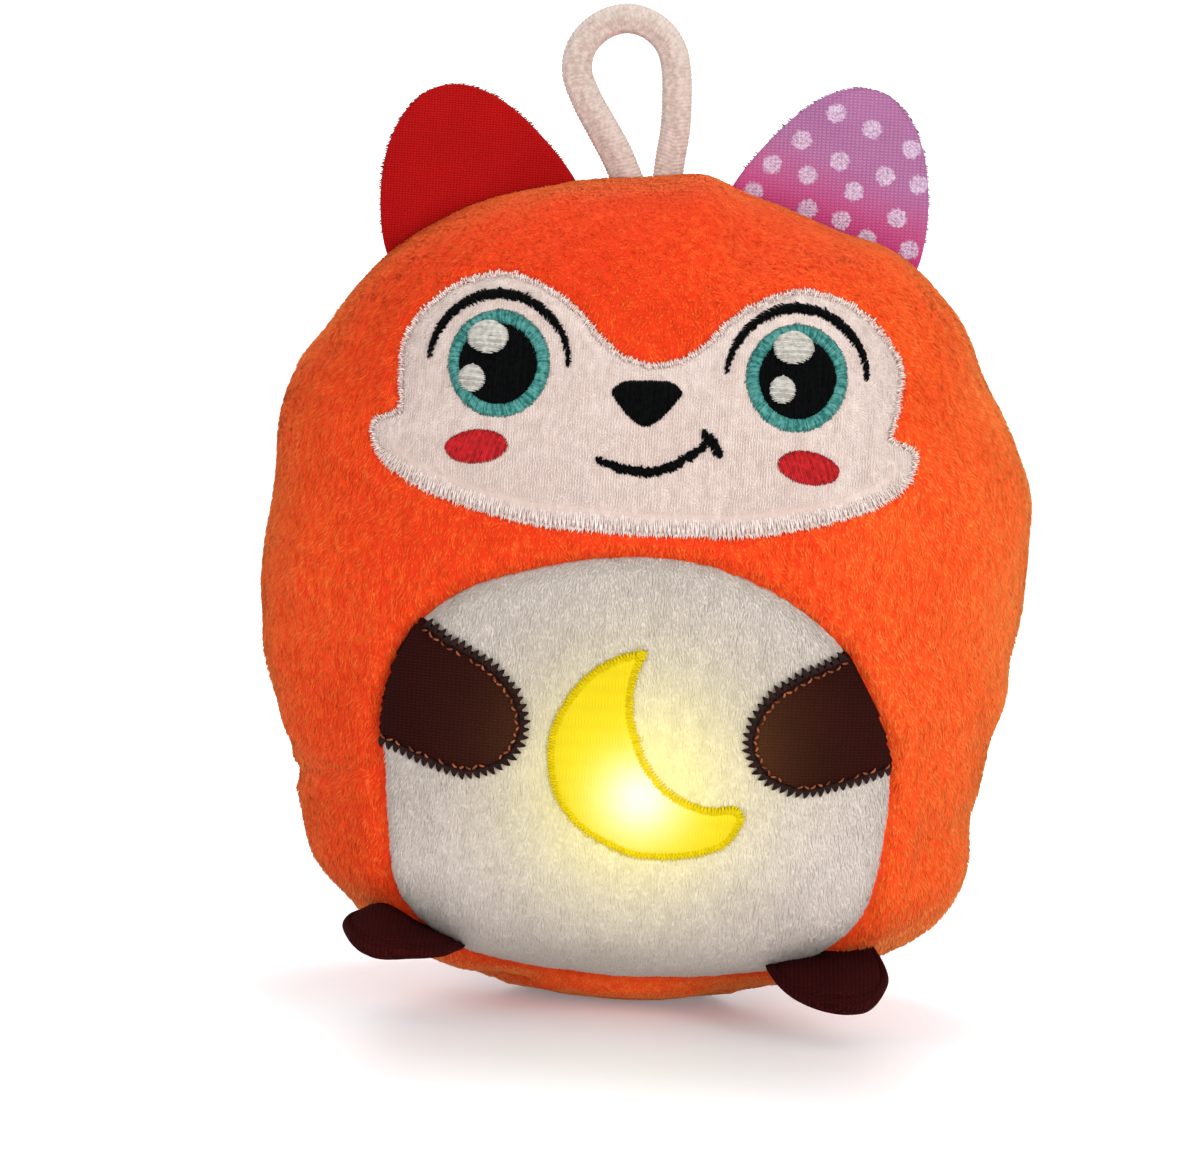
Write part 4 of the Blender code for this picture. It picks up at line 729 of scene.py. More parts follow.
def satin_rows(path, left, right, pitch, low, high, seed, closed=False, slant=0.0, wobble=0.12):
    """Threads laid side by side across a path, from left to right of it."""
    rng = np.random.default_rng(seed)
    spots, along = resampled(path, pitch, closed)
    across = leftwards(along)
    count = len(spots)
    left = np.broadcast_to(left, count) + rng.normal(0, wobble, count)
    right = np.broadcast_to(right, count) + rng.normal(0, wobble, count)
    slant = np.broadcast_to(slant, count)
    share = np.linspace(0, 1, 5)
    flats = []
    for i in range(count):
        reach = left[i] + (right[i] - left[i]) * share
        lean = slant[i] * (share - 0.5)
        flats.append(spots[i] + across[i] * reach[:, None] + along[i] * lean[:, None])
    return flats, [low + (high - low) * np.sin(math.pi * share) ** 0.6] * count


# Finishes


class Field:
    """A value that varies over a surface. Sums with it add Math nodes to its tree."""

    def __init__(self, tree, socket):
        self.tree = tree
        self.socket = socket

    def math(self, operation, other=None, clamp=False):
        made = self.tree.nodes.new("ShaderNodeMath")
        made.operation = operation
        made.use_clamp = clamp
        feed(made.inputs[0], self)
        if other is not None:
            feed(made.inputs[1], other)
        return Field(self.tree, made.outputs[0])

    def __add__(self, other):
        return self.math("ADD", other)

    def __sub__(self, other):
        return self.math("SUBTRACT", other)

    def __mul__(self, other):
        return self.math("MULTIPLY", other)

    def __pow__(self, other):
        return self.math("POWER", other)

    def below(self, level):
        """How far the value lies below a level."""
        return self * -1.0 + level

    def clamped(self):
        return self.math("ADD", 0.0, clamp=True)


def feed(entry, value):
    """Sets a node's input to a field, a colour or a number."""
    if isinstance(value, Field):
        value.tree.links.new(value.socket, entry)
    else:
        entry.default_value = (*value, 1.0) if isinstance(value, tuple) else value


def rgb(red, green, blue):
    """A colour as the photograph shows it, as linear light."""
    share = np.array((red, green, blue)) / 255
    return tuple(np.where(share <= 0.04045, share / 12.92, ((share + 0.055) / 1.055) ** 2.4))


def new_finish(name, roughness, sheen=0.0, sheen_rough=0.5, specular=0.5, tint=(1, 1, 1)):
    made = bpy.data.materials.new(name)
    made.use_nodes = True
    entries = made.node_tree.nodes["Principled BSDF"].inputs
    feed(entries["Roughness"], roughness)
    feed(entries["Sheen Weight"], sheen)
    feed(entries["Sheen Roughness"], sheen_rough)
    feed(entries["Sheen Tint"], tint)
    feed(entries["Specular IOR Level"], specular)
    return made, made.node_tree, entries


def ramp(factor, stops):
    made = factor.tree.nodes.new("ShaderNodeValToRGB")
    steps = made.color_ramp.elements
    while len(steps) < len(stops):
        steps.new(0.5)
    for step, (place, colour) in zip(steps, stops, strict=True):
        step.position = place
        step.color = (*colour, 1.0)
    feed(made.inputs[0], factor)
    return Field(factor.tree, made.outputs[0])


def mixed(factor, a, b):
    made = factor.tree.nodes.new("ShaderNodeMix")
    made.data_type = "RGBA"
    for number, value in ((0, factor), (6, a), (7, b)):
        feed(made.inputs[number], value)
    return Field(factor.tree, made.outputs[2])


def noise(tree, scale, detail, stretch=(1.0, 1.0, 1.0)):
    shaped = tree.nodes.new("ShaderNodeMapping")
    shaped.inputs["Scale"].default_value = stretch
    tree.links.new(tree.nodes.new("ShaderNodeTexCoord").outputs["Object"], shaped.inputs[0])
    made = tree.nodes.new("ShaderNodeTexNoise")
    made.inputs["Scale"].default_value = scale
    made.inputs["Detail"].default_value = detail
    tree.links.new(shaped.outputs[0], made.inputs["Vector"])
    return Field(tree, made.outputs["Fac"])


def attribute(tree, name):
    made = tree.nodes.new("ShaderNodeAttribute")
    made.attribute_name = name
    return Field(tree, made.outputs["Fac"])


def axes(tree):
    """X, Y and Z of the object, in metres."""
    parts = tree.nodes.new("ShaderNodeSeparateXYZ")
    tree.links.new(tree.nodes.new("ShaderNodeTexCoord").outputs["Object"], parts.inputs[0])
    return [Field(tree, part) for part in parts.outputs]


def bump(entries, height, distance, strength):
    made = height.tree.nodes.new("ShaderNodeBump")
    feed(made.inputs["Strength"], strength)
    feed(made.inputs["Distance"], distance)
    feed(made.inputs["Height"], height)
    feed(entries["Normal"], Field(height.tree, made.outputs[0]))


LAMP = (1.5, 39.2)  # the brightest place of the moon, in X and Z


def glow_share(tree, middle, reach):
    """1 at a place in X and Z, fading with distance, all in millimetres."""
    x, _, z = axes(tree)
    away = (x * 1000 - middle[0]) ** 2 + (z * 1000 - middle[1]) ** 2
    return (away * (-1 / reach**2)).math("EXPONENT")


def seen_rays(tree):
    """1 for the rays that show a surface, 0 for those that it only lights others by."""
    seen = tree.nodes.new("ShaderNodeLightPath").outputs
    shown = Field(tree, seen["Is Camera Ray"])
    for kind in ("Is Glossy Ray", "Is Transmission Ray"):
        shown = shown.math("MAXIMUM", Field(tree, seen[kind]))
    return shown


def plush_finish(
    name, colours, tint, sheen=0.12, grain=0.9, painted_side_light=0.0, painted_height_shading=(0.0, 45.0), edge=0.0, glow=None
):
    """Pile: darker at the roots, lighter at the tips, with soft patches. The colour also carries
    painted light: lighter towards +X as if lit from that side, lighter or darker below a height as
    the light falls there, a painted sheen that makes the sides lighter and yellower, and a lowest
    rim painted lighter where it lies in shade."""
    made, tree, entries = new_finish(name, 0.85, sheen, 0.35, 0.1, tint)
    fine = noise(tree, 1000, 2, (1.0, 1.0, 0.5))
    tone = attribute(tree, "tip") * 0.5 + attribute(tree, "tone") * 0.3
    tone = tone + (noise(tree, 55, 2) - 0.5) * 0.3 + (fine - 0.5) * grain
    # Painted light and shade: lighter towards +X as if lit from that side, and lighter or darker
    # below a height as the light falls there.
    if painted_side_light:
        x, _, z = axes(tree)
        slope, height = painted_height_shading
        tone = tone + x * painted_side_light + z.below(height * MM) * slope
        # Painted sheen: the sides lighter and yellower. Painted light: the lowest rim lighter,
        # where the belly's bulge shades it.
        if edge:
            rim = (z.below(0.012) * 140.0).clamped()
            tone = tone + (x**2 - 0.0012) * edge + rim * 0.38
    colour = ramp(tone.clamped(), ((0.0, colours[0]), (0.45, colours[1]), (1.0, colours[2])))
    if glow:
        colour = glow(tree, entries, colour)
    feed(entries["Base Color"], colour)
    bump(entries, fine, 0.0005, 0.4)
    return made


def thread_finish(name, dark, light, roughness, gloss, lamp=None):
    """Twisted embroidery thread: fine specks, and each thread a little lighter or darker."""
    made, tree, entries = new_finish(name, roughness, 0.0, 0.4, gloss)
    # The tone attribute is each thread's own random tone; on the hang loop's cord it carries
    # painted shading.
    tone = attribute(tree, "tone") * 0.3 - 0.15 + noise(tree, 1300, 2)
    colour = ramp(tone.clamped(), ((0.3, rgb(*dark)), (0.7, rgb(*light))))
    feed(entries["Base Color"], colour)
    if lamp:
        reach, power = lamp
        feed(entries["Emission Color"], colour)
        feed(entries["Emission Strength"], glow_share(tree, LAMP, reach) * power)
    bump(entries, noise(tree, 2600, 2), 0.0002, 0.5)
    return made


def knit_field(tree, first, second, across, along):
    """Rows of small knitted loops over two of the object's axes, from 0 to 1."""
    place = axes(tree)
    rib = (place[first] * (math.pi / across)).math("SINE").math("ABSOLUTE")
    loop = (place[second] * (math.pi / along) + rib * 1.2).math("SINE").math("ABSOLUTE")
    return rib**0.5 * loop


def knit_finish(name, dark, light, sheen, loops=(0.0007, 0.0005), rows=(0, 2), pattern=None):
    """Knitted cloth: rows of loops over two axes, and soft patches."""
    dark, light = rgb(*dark), rgb(*light)
    made, tree, entries = new_finish(name, 0.9, sheen, 0.3, 0.04, light)
    knit = knit_field(tree, *rows, *loops)
    # Painted shade: the gaps between the loops darker, the loops lighter.
    tone = knit * 0.6 + noise(tree, 90, 3) * 0.5
    colour = ramp(tone.clamped(), ((0.1, dark), (0.9, light)))
    feed(entries["Base Color"], pattern(tree, colour) if pattern else colour)
    bump(entries, knit, 0.0002, 0.7)
    return made


DOT_RADIUS = 1.75


def dots(tree, colour):
    """Printed dots, ragged where the pile breaks their edges, on a cloth redder at its root."""
    ground = mixed(attribute(tree, "low").clamped(), colour, rgb(178, 58, 112))
    away = attribute(tree, "dot") + (noise(tree, 1900, 2) - 0.5) * 1.4
    dot = (away.below(DOT_RADIUS) * 3.0).clamped()
    pale = ramp(noise(tree, 2600, 2), ((0.35, rgb(164, 134, 162)), (0.6, rgb(202, 182, 202))))
    return mixed(dot * 0.93, ground, pale)


def paw_glow(tree, colour):
    """Lamplight that catches the paws' ends."""
    return mixed(glow_share(tree, (2.0, 46.0), 17.0) * 0.8, colour, rgb(110, 74, 42))


def belly_glow(tree, entries, colour):
    """The lamp's light through the cloth: a warm halo that fades with distance."""
    halo = glow_share(tree, (0.8, 40.4), 16.5)
    feed(entries["Emission Color"], rgb(255, 247, 200))
    feed(entries["Emission Strength"], halo * 0.24)
    return mixed((halo * 0.95).clamped(), colour, rgb(232, 221, 128))


def moon_finish():
    """Yellow felt over the lamp, nearly white where it is brightest."""
    made, tree, entries = new_finish("moon_felt", 0.75, 0.05, 0.4, 0.15)
    core, spread = glow_share(tree, LAMP, 5.8), glow_share(tree, LAMP, 12.0)
    knit = knit_field(tree, 0, 2, 0.0005, 0.003)
    # Painted shade: the knit's gaps a little darker.
    base = ramp(knit, ((0.0, rgb(197, 174, 3)), (1.0, rgb(206, 184, 6))))
    colour = mixed(core, mixed(spread, base, rgb(230, 212, 36)), rgb(230, 223, 198))
    feed(entries["Base Color"], colour)
    feed(entries["Emission Color"], colour)
    feed(entries["Emission Strength"], core * 0.04 + spread * 0.03)
    bump(entries, knit, 0.0001, 0.4)
    return made


def moulded(name, dark, light, roughness, metal):
    """Moulded or pressed parts: slightly mottled, with a fine texture and worn high spots."""
    made, tree, entries = new_finish(name, roughness)
    grain = noise(tree, 900, 3)
    tone = grain * 0.5 + noise(tree, 70, 2) * 0.5
    feed(entries["Base Color"], ramp(tone, ((0.3, rgb(*dark)), (0.7, rgb(*light)))))
    feed(entries["Roughness"], (grain * 0.2 + (roughness - 0.1)).clamped())
    feed(entries["Metallic"], metal)
    bump(entries, grain, 0.00005, 0.5)
    return made


ORANGE = (rgb(205, 48, 14), rgb(229, 80, 27), rgb(245, 127, 56))
CREAM = (rgb(170, 161, 152), rgb(207, 196, 187), rgb(232, 220, 214))
FACE = (rgb(188, 167, 158), rgb(224, 208, 200), rgb(240, 229, 223))
TAPE = (rgb(190, 186, 182), rgb(216, 213, 210), rgb(238, 236, 234))
# Painted light and shade in the piles: all lighter to the right, the orange also at its sides and
# lowest rim, the cream lighter and the pink darker towards the bottom.
orange = plush_finish("orange_pile", ORANGE, rgb(255, 178, 98), 0.42, 0.9, 2.4, edge=90.0)
cream = plush_finish(
    "cream_pile", CREAM, rgb(255, 246, 238), 0.12, 0.55, 1.4, (6.5, 39), glow=belly_glow
)
pink = plush_finish("pink_pile", FACE, rgb(255, 240, 234), 0.12, 0.6, 0.6, (-6.0, 104))
tape_finish = plush_finish("fastening_tape", TAPE, rgb(255, 255, 255))
brown = knit_finish("brown_knit", (20, 4, 3), (48, 14, 11), 0.0, pattern=paw_glow)
brown_foot = knit_finish("brown_foot_knit", (22, 3, 3), (56, 11, 11), 0.0, rows=(0, 1))
red = knit_finish("red_knit", (128, 6, 8), (176, 20, 19), 0.0, (0.0005, 0.0004))
purple = knit_finish("purple_knit", (134, 84, 126), (174, 117, 157), 0.0, pattern=dots)
fibre = knit_finish("polyester_fibre", (206, 204, 200), (240, 239, 236), 0.04, (0.0021, 0.0017))
lining = knit_finish("lining_weave", (150, 146, 142), (186, 182, 178), 0.04, (0.0006, 0.0006))
# Threads: dark and light colour, roughness, gloss and how far and strongly the lamp shines through
THREADS = {
    "black": ((1, 1, 1), (6, 7, 8), 0.7, 0.03),
    "teal": ((12, 84, 79), (78, 142, 135), 0.55, 0.15),
    "white": ((150, 146, 138), (192, 189, 181), 0.65, 0.12),
    "border": ((190, 172, 165), (228, 214, 208), 0.75, 0.08),
    "red": ((132, 12, 16), (186, 27, 32), 0.6, 0.12),
    "brown": ((18, 7, 6), (40, 16, 12), 0.65, 0.1),
    "copper": ((84, 40, 24), (156, 88, 54), 0.6, 0.1),
    # Next: dark threads for the shaded groove inside the face's lower border, a painted shadow.
    "mark": ((146, 124, 114), (180, 158, 148), 0.8, 0.05),
    "yellow": ((186, 163, 4), (204, 182, 8), 0.75, 0.05, (13.0, 0.5)),
}
thread = {colour: thread_finish(f"{colour}_thread", *look) for colour, look in THREADS.items()}
cord_yarn = thread_finish("cord_yarn", (170, 152, 143), (199, 184, 175), 0.9, 0.06)


# The stuffed body


def half_grid(turns, lift=None):
    points = skin_grid(turns, np.linspace(0.012, 1, 111))
    if lift:
        turn, climb = np.meshgrid(turns, np.linspace(0.012, 1, 111))
        points = points + body_normals(turn, climb) * lift(points)[..., None] * MM
    return points.reshape(-1, 3), grid_faces(*points.shape[:2])


def depth_on_front(points, outline):
    depth = depth_in(points[..., (0, 2)].reshape(-1, 2) / MM, outline)
    return np.where(points[..., 1].ravel() < 0, depth, -99).reshape(points.shape[:-1])


def front_lift(points):
    """Orange cloth dips under the belly panel and the face patch, and rolls into their seams."""
    belly = depth_on_front(points, belly_outline)
    face = depth_on_front(points, face_outline)
    dip = 2.8 * gate((belly + 0.2) / 0.42) + gate((face + 0.1) / 0.4)
    return 0.5 * bell(belly, -3.2, 1.8) + 0.2 * bell(face, -2.4, 1.3) - dip


def within(points, half_width, low, high):
    """Points of the back that lie in an upright rectangle, in millimetres."""
    x, z = points[..., 0] / MM, points[..., 2] / MM
    return (np.abs(x) < half_width) & (z > low) & (z < high) & (points[..., 1] > 0)


def orange_front():
    sheet = half_grid(np.linspace(math.pi, 2 * math.pi, 121), front_lift)

    def keep(roots):
        clear = depth_on_front(roots, belly_outline) < 0.1
        return clear & (depth_on_front(roots, face_outline) < 0.1) & (roots[:, 2] > 0.002)

    made = plush("plush_front", sheet, orange, 90000, keep, 21, 0.92, 0.5)
    return dressed(made, "toy", "orange_plush", "front_panel")


def orange_back():
    vertices, faces = half_grid(np.linspace(0, math.pi, 111))
    sheet = vertices, faces[~within(vertices, *OPENING)[faces].all(axis=1)]

    def keep(roots):
        return (roots[:, 2] > 0.002) & ~within(roots, FLAP[0] - 0.5, FLAP[1] + 0.5, FLAP[2] - 0.5)

    made = plush("plush_back", sheet, orange, 62000, keep, 22, 0.95, 0.55)
    return dressed(made, "toy", "orange_plush", "back_panel")


def orange_base():
    rim = skin_grid(np.linspace(0, 2 * math.pi, 121), np.array((0.0, 0.006, 0.012)))
    floor = np.stack([rim[0] * (share, share, share**2) for share in np.linspace(0, 1, 24)])
    points = np.concatenate((floor, rim[1:]))
    sheet = points.reshape(-1, 3), grid_faces(*points.shape[:2])

    def keep(roots):
        return roots[:, 2] > 0.001

    made = plush("plush_base", sheet, orange, 9000, keep, 23, 0.9, 0.45, 78, 0.4)
    return dressed(made, "toy", "orange_plush", "base_panel")


def cream_belly():
    sheet = cloth_patch(belly_outline, 1.1, -1.6, 0.35, 1.5, 1.4)

    def keep(roots):
        return (depth_on_front(roots, belly_outline) > 0.2) & (roots[:, 1] < -0.01)

    made = plush(
        "plush_belly", sheet, cream, 59400, keep, 24, 0.95, 0.42, ruffle=0.14, outer=True
    )
    return dressed(made, "toy", "belly_plush", "belly_panel")


def pink_face():
    """The patch's pile is short and stands in the knit's rows, with a ragged edge."""
    vertices, faces = cloth_patch(face_outline, 0.9, -0.3, 0.7, 1.1, 1.0)
    rng = np.random.default_rng(25)
    low, high = face_outline.min(axis=0), face_outline.max(axis=0)
    x, z = np.meshgrid(np.arange(low[0], high[0], 0.43), np.arange(low[1], high[1], 0.215))
    flat = np.column_stack((x.ravel(), z.ravel())) + rng.normal(0, 0.055, (x.size, 2))
    depth = depth_in(flat, face_outline)
    flat, depth = flat[depth > 0.15], depth[depth > 0.15]
    groove = bell(depth, 3.2, 0.55) * clamp((97 - flat[:, 1]) / 6)
    roots, normals = on_skin(flat, rolled(depth, -0.3, 0.7, 1.1) - 0.35 * groove)
    ways = nap(roots, normals, 52, 0.3, 25)
    edge, along = resampled(face_outline, 0.2, closed=True)
    outwards = leftwards(along)
    edge = edge - outwards * rng.uniform(0.0, 0.5, (len(edge), 1))
    starts, start_normals = on_skin(edge, 0.2)
    ends, _ = on_skin(edge + outwards, 0.45)
    flares = unit(ends - starts + rng.normal(0, 0.00022, ends.shape))
    size = np.concatenate((np.full(len(roots), 0.55), np.full(len(starts), 0.8))) * MM
    tuft = blades(
        np.vstack((roots, starts)),
        np.vstack((normals, start_normals)),
        np.vstack((ways, flares)),
        size[:, None],
        0.33 * MM,
        25,
    )
    # Painted shade: the tufts sunk in the groove inside the lower border are painted darker.
    painted_shading = np.concatenate((1 - 2.2 * groove, np.full(len(starts), 0.8)))
    made = with_pile("plush_face", vertices, faces, pink, tuft, np.repeat(painted_shading, 4))
    return dressed(made, "toy", "face_plush", "face_patch")


def filling():
    """Fibre inside the cloth, drawn back from it, round the lamp and the battery pouch."""
    shape = bmesh.new()
    shape.from_mesh(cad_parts["stuffing"].data)
    bmesh.ops.subdivide_edges(shape, edges=shape.edges, cuts=1, use_grid_fill=True)
    bmesh.ops.triangulate(shape, faces=shape.faces)
    vertices = np.array([v.co for v in shape.verts])
    faces = np.array([[v.index for v in f.verts] for f in shape.faces])
    shape.free()
    for i, vertex in enumerate(vertices):
        hit, normal, _, gap = skin_tree.find_nearest(Vector(vertex))
        if gap < 0.0034:
            vertices[i] = np.array(hit) - np.array(normal) * 0.0044
    vertices += vertex_normals(vertices, faces) * (waves(vertices, 0.006, 71)[:, None] - 1) * 2e-4
    dressed(piece("fibre_filling", vertices, faces, fibre), "toy", "fibre_fill", "stuffing")


# Embroidery


def sewn(name, rows, radius, colour, slot, *nodes, squash=0.75):
    """Threads sewn on the toy."""
    dressed(threads(name, *rows, radius, thread[colour], squash), "toy", slot, *nodes)


def motif(name, rows, radius, colour, squash=0.75):
    """An embroidered part of the face, in place of its CAD node."""
    sewn(f"{name}_thread", rows, radius, colour, f"{colour}_thread", name, squash=squash)


def zigzag(path, pitch, lean):
    """Leans that change sides from stitch to stitch along a closed path."""
    return np.where(np.arange(len(resampled(path, pitch, True)[0])) % 2, lean, -0.1)


def swelled(path, least, more, power):
    """Half the width of a satin line that is widest half way along its path."""
    count = len(resampled(path, SATIN_PITCH)[0])
    return least + more * np.sin(math.pi * np.linspace(0, 1, count)) ** power


SATIN_PITCH = 0.24


def eye(side, facing, rise, big, small):
    x, z = FACE_X + facing * EYE_SPREAD + (-0.45 if facing < 0 else 0.3), EYE_Z + rise
    rows = satin_rows(ellipse(x, z, 6.9, 7.25), 1.15, -1.15, 0.16, 0.85, 1.4, 31, True, 0.3, 0.08)
    motif(f"eye_ring_{side}", rows, 0.14, "teal", 0.5)
    rows = fill_rows(ellipse(x, z - 0.2, 6.05, 6.45), 90, 0.3, 3.2, 0.9, 1.5, 0.6, 32)
    motif(f"pupil_{side}", rows, 0.2, "black")
    glints = (("large", big, (3.3, 2.6), 33), ("small", small, (2.15, 2.1), 34))
    for size, (right, up), half, seed in glints:
        rows = fill_rows(ellipse(x + right, z + up, *half), 0, 0.27, 4.0, 1.5, 2.0, 0.5, seed)
        motif(f"glint_{size}_{side}", rows, 0.18, "white")
    brow = arc(x, z - 0.2, 11.0, 2, 178, 60)
    half = swelled(brow, 0.24, 0.58, 0.8)
    rows = satin_rows(brow, half, -half, SATIN_PITCH, 0.8, 1.4, 35, False, 0.5, 0.13)
    motif(f"brow_{side}", rows, 0.17, "black")


def features():
    nose = smooth_outline(np.array(NOSE) + (FACE_X, 0), 4)
    motif("nose", fill_rows(nose, 90, 0.3, 3.0, 0.9, 1.7, 0.8, 41), 0.2, "black")
    flats, lifts = [], []
    for path, bold, seed in ((MOUTH, 0.74, 42), (MOUTH_TICK, 0.8, 43)):
        line = smooth_path(np.array(path) + (FACE_X, 0), 6)
        half = swelled(line, 0.55 * bold, 0.45 * bold, 0.5)
        more = satin_rows(line, half, -half, SATIN_PITCH, 0.8, 1.5, seed, False, 0.25, 0.17)
        flats += more[0]
        lifts += more[1]
    motif("mouth", (flats, lifts), 0.17, "black")
    for side, x, z, tilt, way in CHEEKS:
        cheek = ellipse(FACE_X + x, z, 4.95, 2.6, math.radians(tilt))
        motif(f"cheek_{side}", fill_rows(cheek, way, 0.29, 3.5, 0.9, 1.6, 0.7, 44), 0.19, "red")
    spots, _ = resampled(face_outline, 0.36, True)
    low = clamp((93 - spots[:, 1]) / 6)
    lean = zigzag(face_outline, 0.36, 0.5) * low
    rows = satin_rows(face_outline, 0.15, -0.45 - 2.75 * low, 0.36, 0.1, 0.7, 45, True, lean, 0.25)
    sewn("face_border_thread", rows, 0.13, "border", "face_plush", squash=0.6)
    # Dark threads along the sunk groove inside the lower border: a painted shadow where the pile
    # lies in shade.
    lower = face_outline[face_outline[:, 1] < 90]
    lower = lower[np.argsort(lower[:, 0])]
    rows = satin_rows(lower, 3.0, 3.7, 0.72, 0.42, 0.62, 46, False, 0.2, 0.12)
    sewn("face_border_marks", rows, 0.17, "mark", "face_plush", squash=0.5)


# The moon and the paws


def moon():
    made = piece("moon_cloth", *cloth_patch(moon_outline, 0.8, 0.6, 1.2, 0.8, 1.0), moon_finish())
    dressed(made, "toy", "moon_cloth", "moon_patch")
    lean = zigzag(moon_outline, 0.27, 0.4)
    rows = satin_rows(moon_outline, 1.5, -0.2, 0.27, 0.8, 1.12, 51, True, lean, 0.12)
    sewn("moon_edge_thread", rows, 0.13, "yellow", "moon_cloth", squash=0.5)


def paw(side, facing):
    """A paw sewn on the belly with zigzag teeth, and a line of top stitches inside them."""
    outline = np.array(PAW) * (-facing, 1) + (PAW_X, 0)
    closed = smooth_outline(outline, 4, (0, len(PAW) - 1))
    if facing > 0:
        closed = closed[::-1]
    vertices, faces = cloth_patch(closed, 0.8, 0.6, 1.35, 0.6, 0.9)
    depth = depth_on_front(vertices, belly_outline)
    shown = depth > 0.0
    vertices[:, 1] += 1.2 * bell(np.maximum(depth, 0), 0, 1.2, 1.3) * MM
    made = piece(f"paw_{side}_cloth", vertices, faces[shown[faces].all(axis=1)], brown)
    dressed(made, "toy", "brown_cloth", f"paw_{side}")
    edge = smooth_path(outline, 8)
    spots, along = resampled(edge[depth_in(edge, belly_outline) > 0.9], 1.2)
    across = leftwards(along) * -facing
    rng = np.random.default_rng(52)
    share = np.linspace(0, 1, 5)[:, None]
    arch = np.sin(math.pi * share[:, 0])
    flats, lifts = [], []
    for i in range(len(spots) - 1):
        top = (spots[i] + spots[i + 1]) / 2 + across[i] * rng.uniform(0.85, 1.15)
        for part in np.linspace(0, 1, 5):
            base = spots[i] + (spots[i + 1] - spots[i]) * part - across[i] * 0.75
            flats.append(base + (top - base) * share)
            lifts.append(1.25 + 0.35 * arch - 0.35 * share[:, 0])
    sewn(f"paw_{side}_zigzag", (flats, lifts), 0.19, "brown", "brown_cloth")
    inner = spots - across * 1.0
    flats = []
    for i in range(len(inner) - 1):
        if rng.uniform() < 0.12:
            continue
        part = rng.uniform(0.05, 0.25) + rng.uniform(0.55, 0.75) * share
        zig = across[i] * 0.34 * (1 if i % 2 else -1)
        flats.append(inner[i] + zig + (inner[i + 1] - inner[i] - 2 * zig) * part)
    rows = flats, [1.5 + 0.25 * arch] * len(flats)
    sewn(f"paw_{side}_topstitch", rows, 0.19, "copper", "brown_cloth")


# Ears and feet

PAD_COLUMNS, PAD_ROWS = 65, 73


def local_pad(half_width, height, skirt, edge, middle, power, seed):
    """A sewn pad, flat and arched: its two faces' points and their mesh, before it is placed.
    The shares run from -1 to 1 across it, and to 1 at its tip."""
    side = np.sin(np.linspace(-math.pi / 2, math.pi / 2, PAD_COLUMNS))
    share = np.linspace(-skirt / height, 1, PAD_ROWS)
    share = np.where(share > 0, np.sin(share * math.pi / 2), share)
    s, r = np.meshgrid(side, share)
    x = half_width * np.sqrt(clamp(1 - clamp(r) ** power)) * s
    up = r * height
    rim = clamp(1 - np.abs(s) ** 2.5) ** 0.6
    half = (edge + (middle - edge) * np.sin(math.pi * clamp(r)) ** 0.8 * rim) / 2
    round_side = np.sqrt(clamp(1 - clamp((np.abs(s) - 0.94) / 0.06) ** 2))
    round_tip = np.sqrt(clamp(1 - clamp((r - 0.985) / 0.015) ** 2))
    half = half * np.maximum(round_side * round_tip, 0.02)
    ripple = 0.0004 * waves(np.stack((x, up, 0 * x), -1), 0.016, seed, 2)
    hem = 0.00018 * bell(np.abs(s), 0.86, 0.03) * (half > 0.0003)
    front, back = (np.stack((x, ripple + k * (half - hem), up), -1) for k in (-1, 1))
    return front, back, grid_faces(PAD_ROWS, PAD_COLUMNS), s, r


def rim_teeth(places, inwards, size, width, every, seed):
    """Small tufts round a cut edge."""
    rng = np.random.default_rng(seed)
    reach = reach_along(places)
    at = np.arange(0, reach[-1], every)
    ways = at_reach(unit(places - inwards), reach, at)
    ways = unit(ways + rng.normal(0, 0.16, ways.shape))
    facing = unit(np.cross(ways, rng.normal(size=ways.shape)))
    return blades(at_reach(places, reach, at), facing, ways, size, width, seed)


def ear(side, chord, degrees, height, finish, slot, straight):
    """An ear with small tufts round its edge. Its inner side is straighter than its outer one."""
    front, back, faces, s, r = local_pad(0.0172, height, 0.005, 0.0011, 0.0028, 1.5, 61)
    slim = 0.985 - 0.04 * clamp(s * straight) * np.sin(math.pi * clamp(r))
    turn = np.array(Matrix.Rotation(math.radians(degrees), 3, "Y"))

    def set_up(points):
        return points.reshape(-1, 3) @ turn.T + np.array(chord) * MM

    for sheet in (front, back):
        sheet[..., 0] *= slim
    middle = (front + back) / 2
    outline = np.vstack((middle[:, 0], middle[-1], middle[::-1, -1]))
    inner_tip = np.tile(middle[-5, PAD_COLUMNS // 2], (PAD_COLUMNS, 1))
    core = np.vstack((middle[:, 3], inner_tip, middle[::-1, -4]))
    above = outline[:, 2] > 0.003
    ends = set_up(outline[above]), set_up(core[above])
    tufts, tuft_faces, *_ = rim_teeth(*ends, 0.55 * MM, 0.4 * MM, 0.00038, 63)
    vertices, faces = closed_sheet(set_up(front), set_up(back), faces)
    every = np.vstack((vertices, tufts))
    away = np.linalg.norm(every[:, None, (0, 2)] / MM - np.array(EAR_DOTS), axis=2).min(axis=1)
    low = clamp(1 - (every[:, 2] - 0.127 - 0.3 * (0.04 - every[:, 0])) / 0.012)
    faces = np.vstack((faces, tuft_faces + len(vertices)))
    made = piece(f"ear_{side}_cloth", every, faces, finish, fields={"dot": away, "low": low})
    dressed(made, None, slot, f"ear_{side}")
    hinged(made)


FOOT_HEIGHT, FOOT_HALF_WIDTH, FOOT_POWER = 0.0182, 0.0104, 2.3


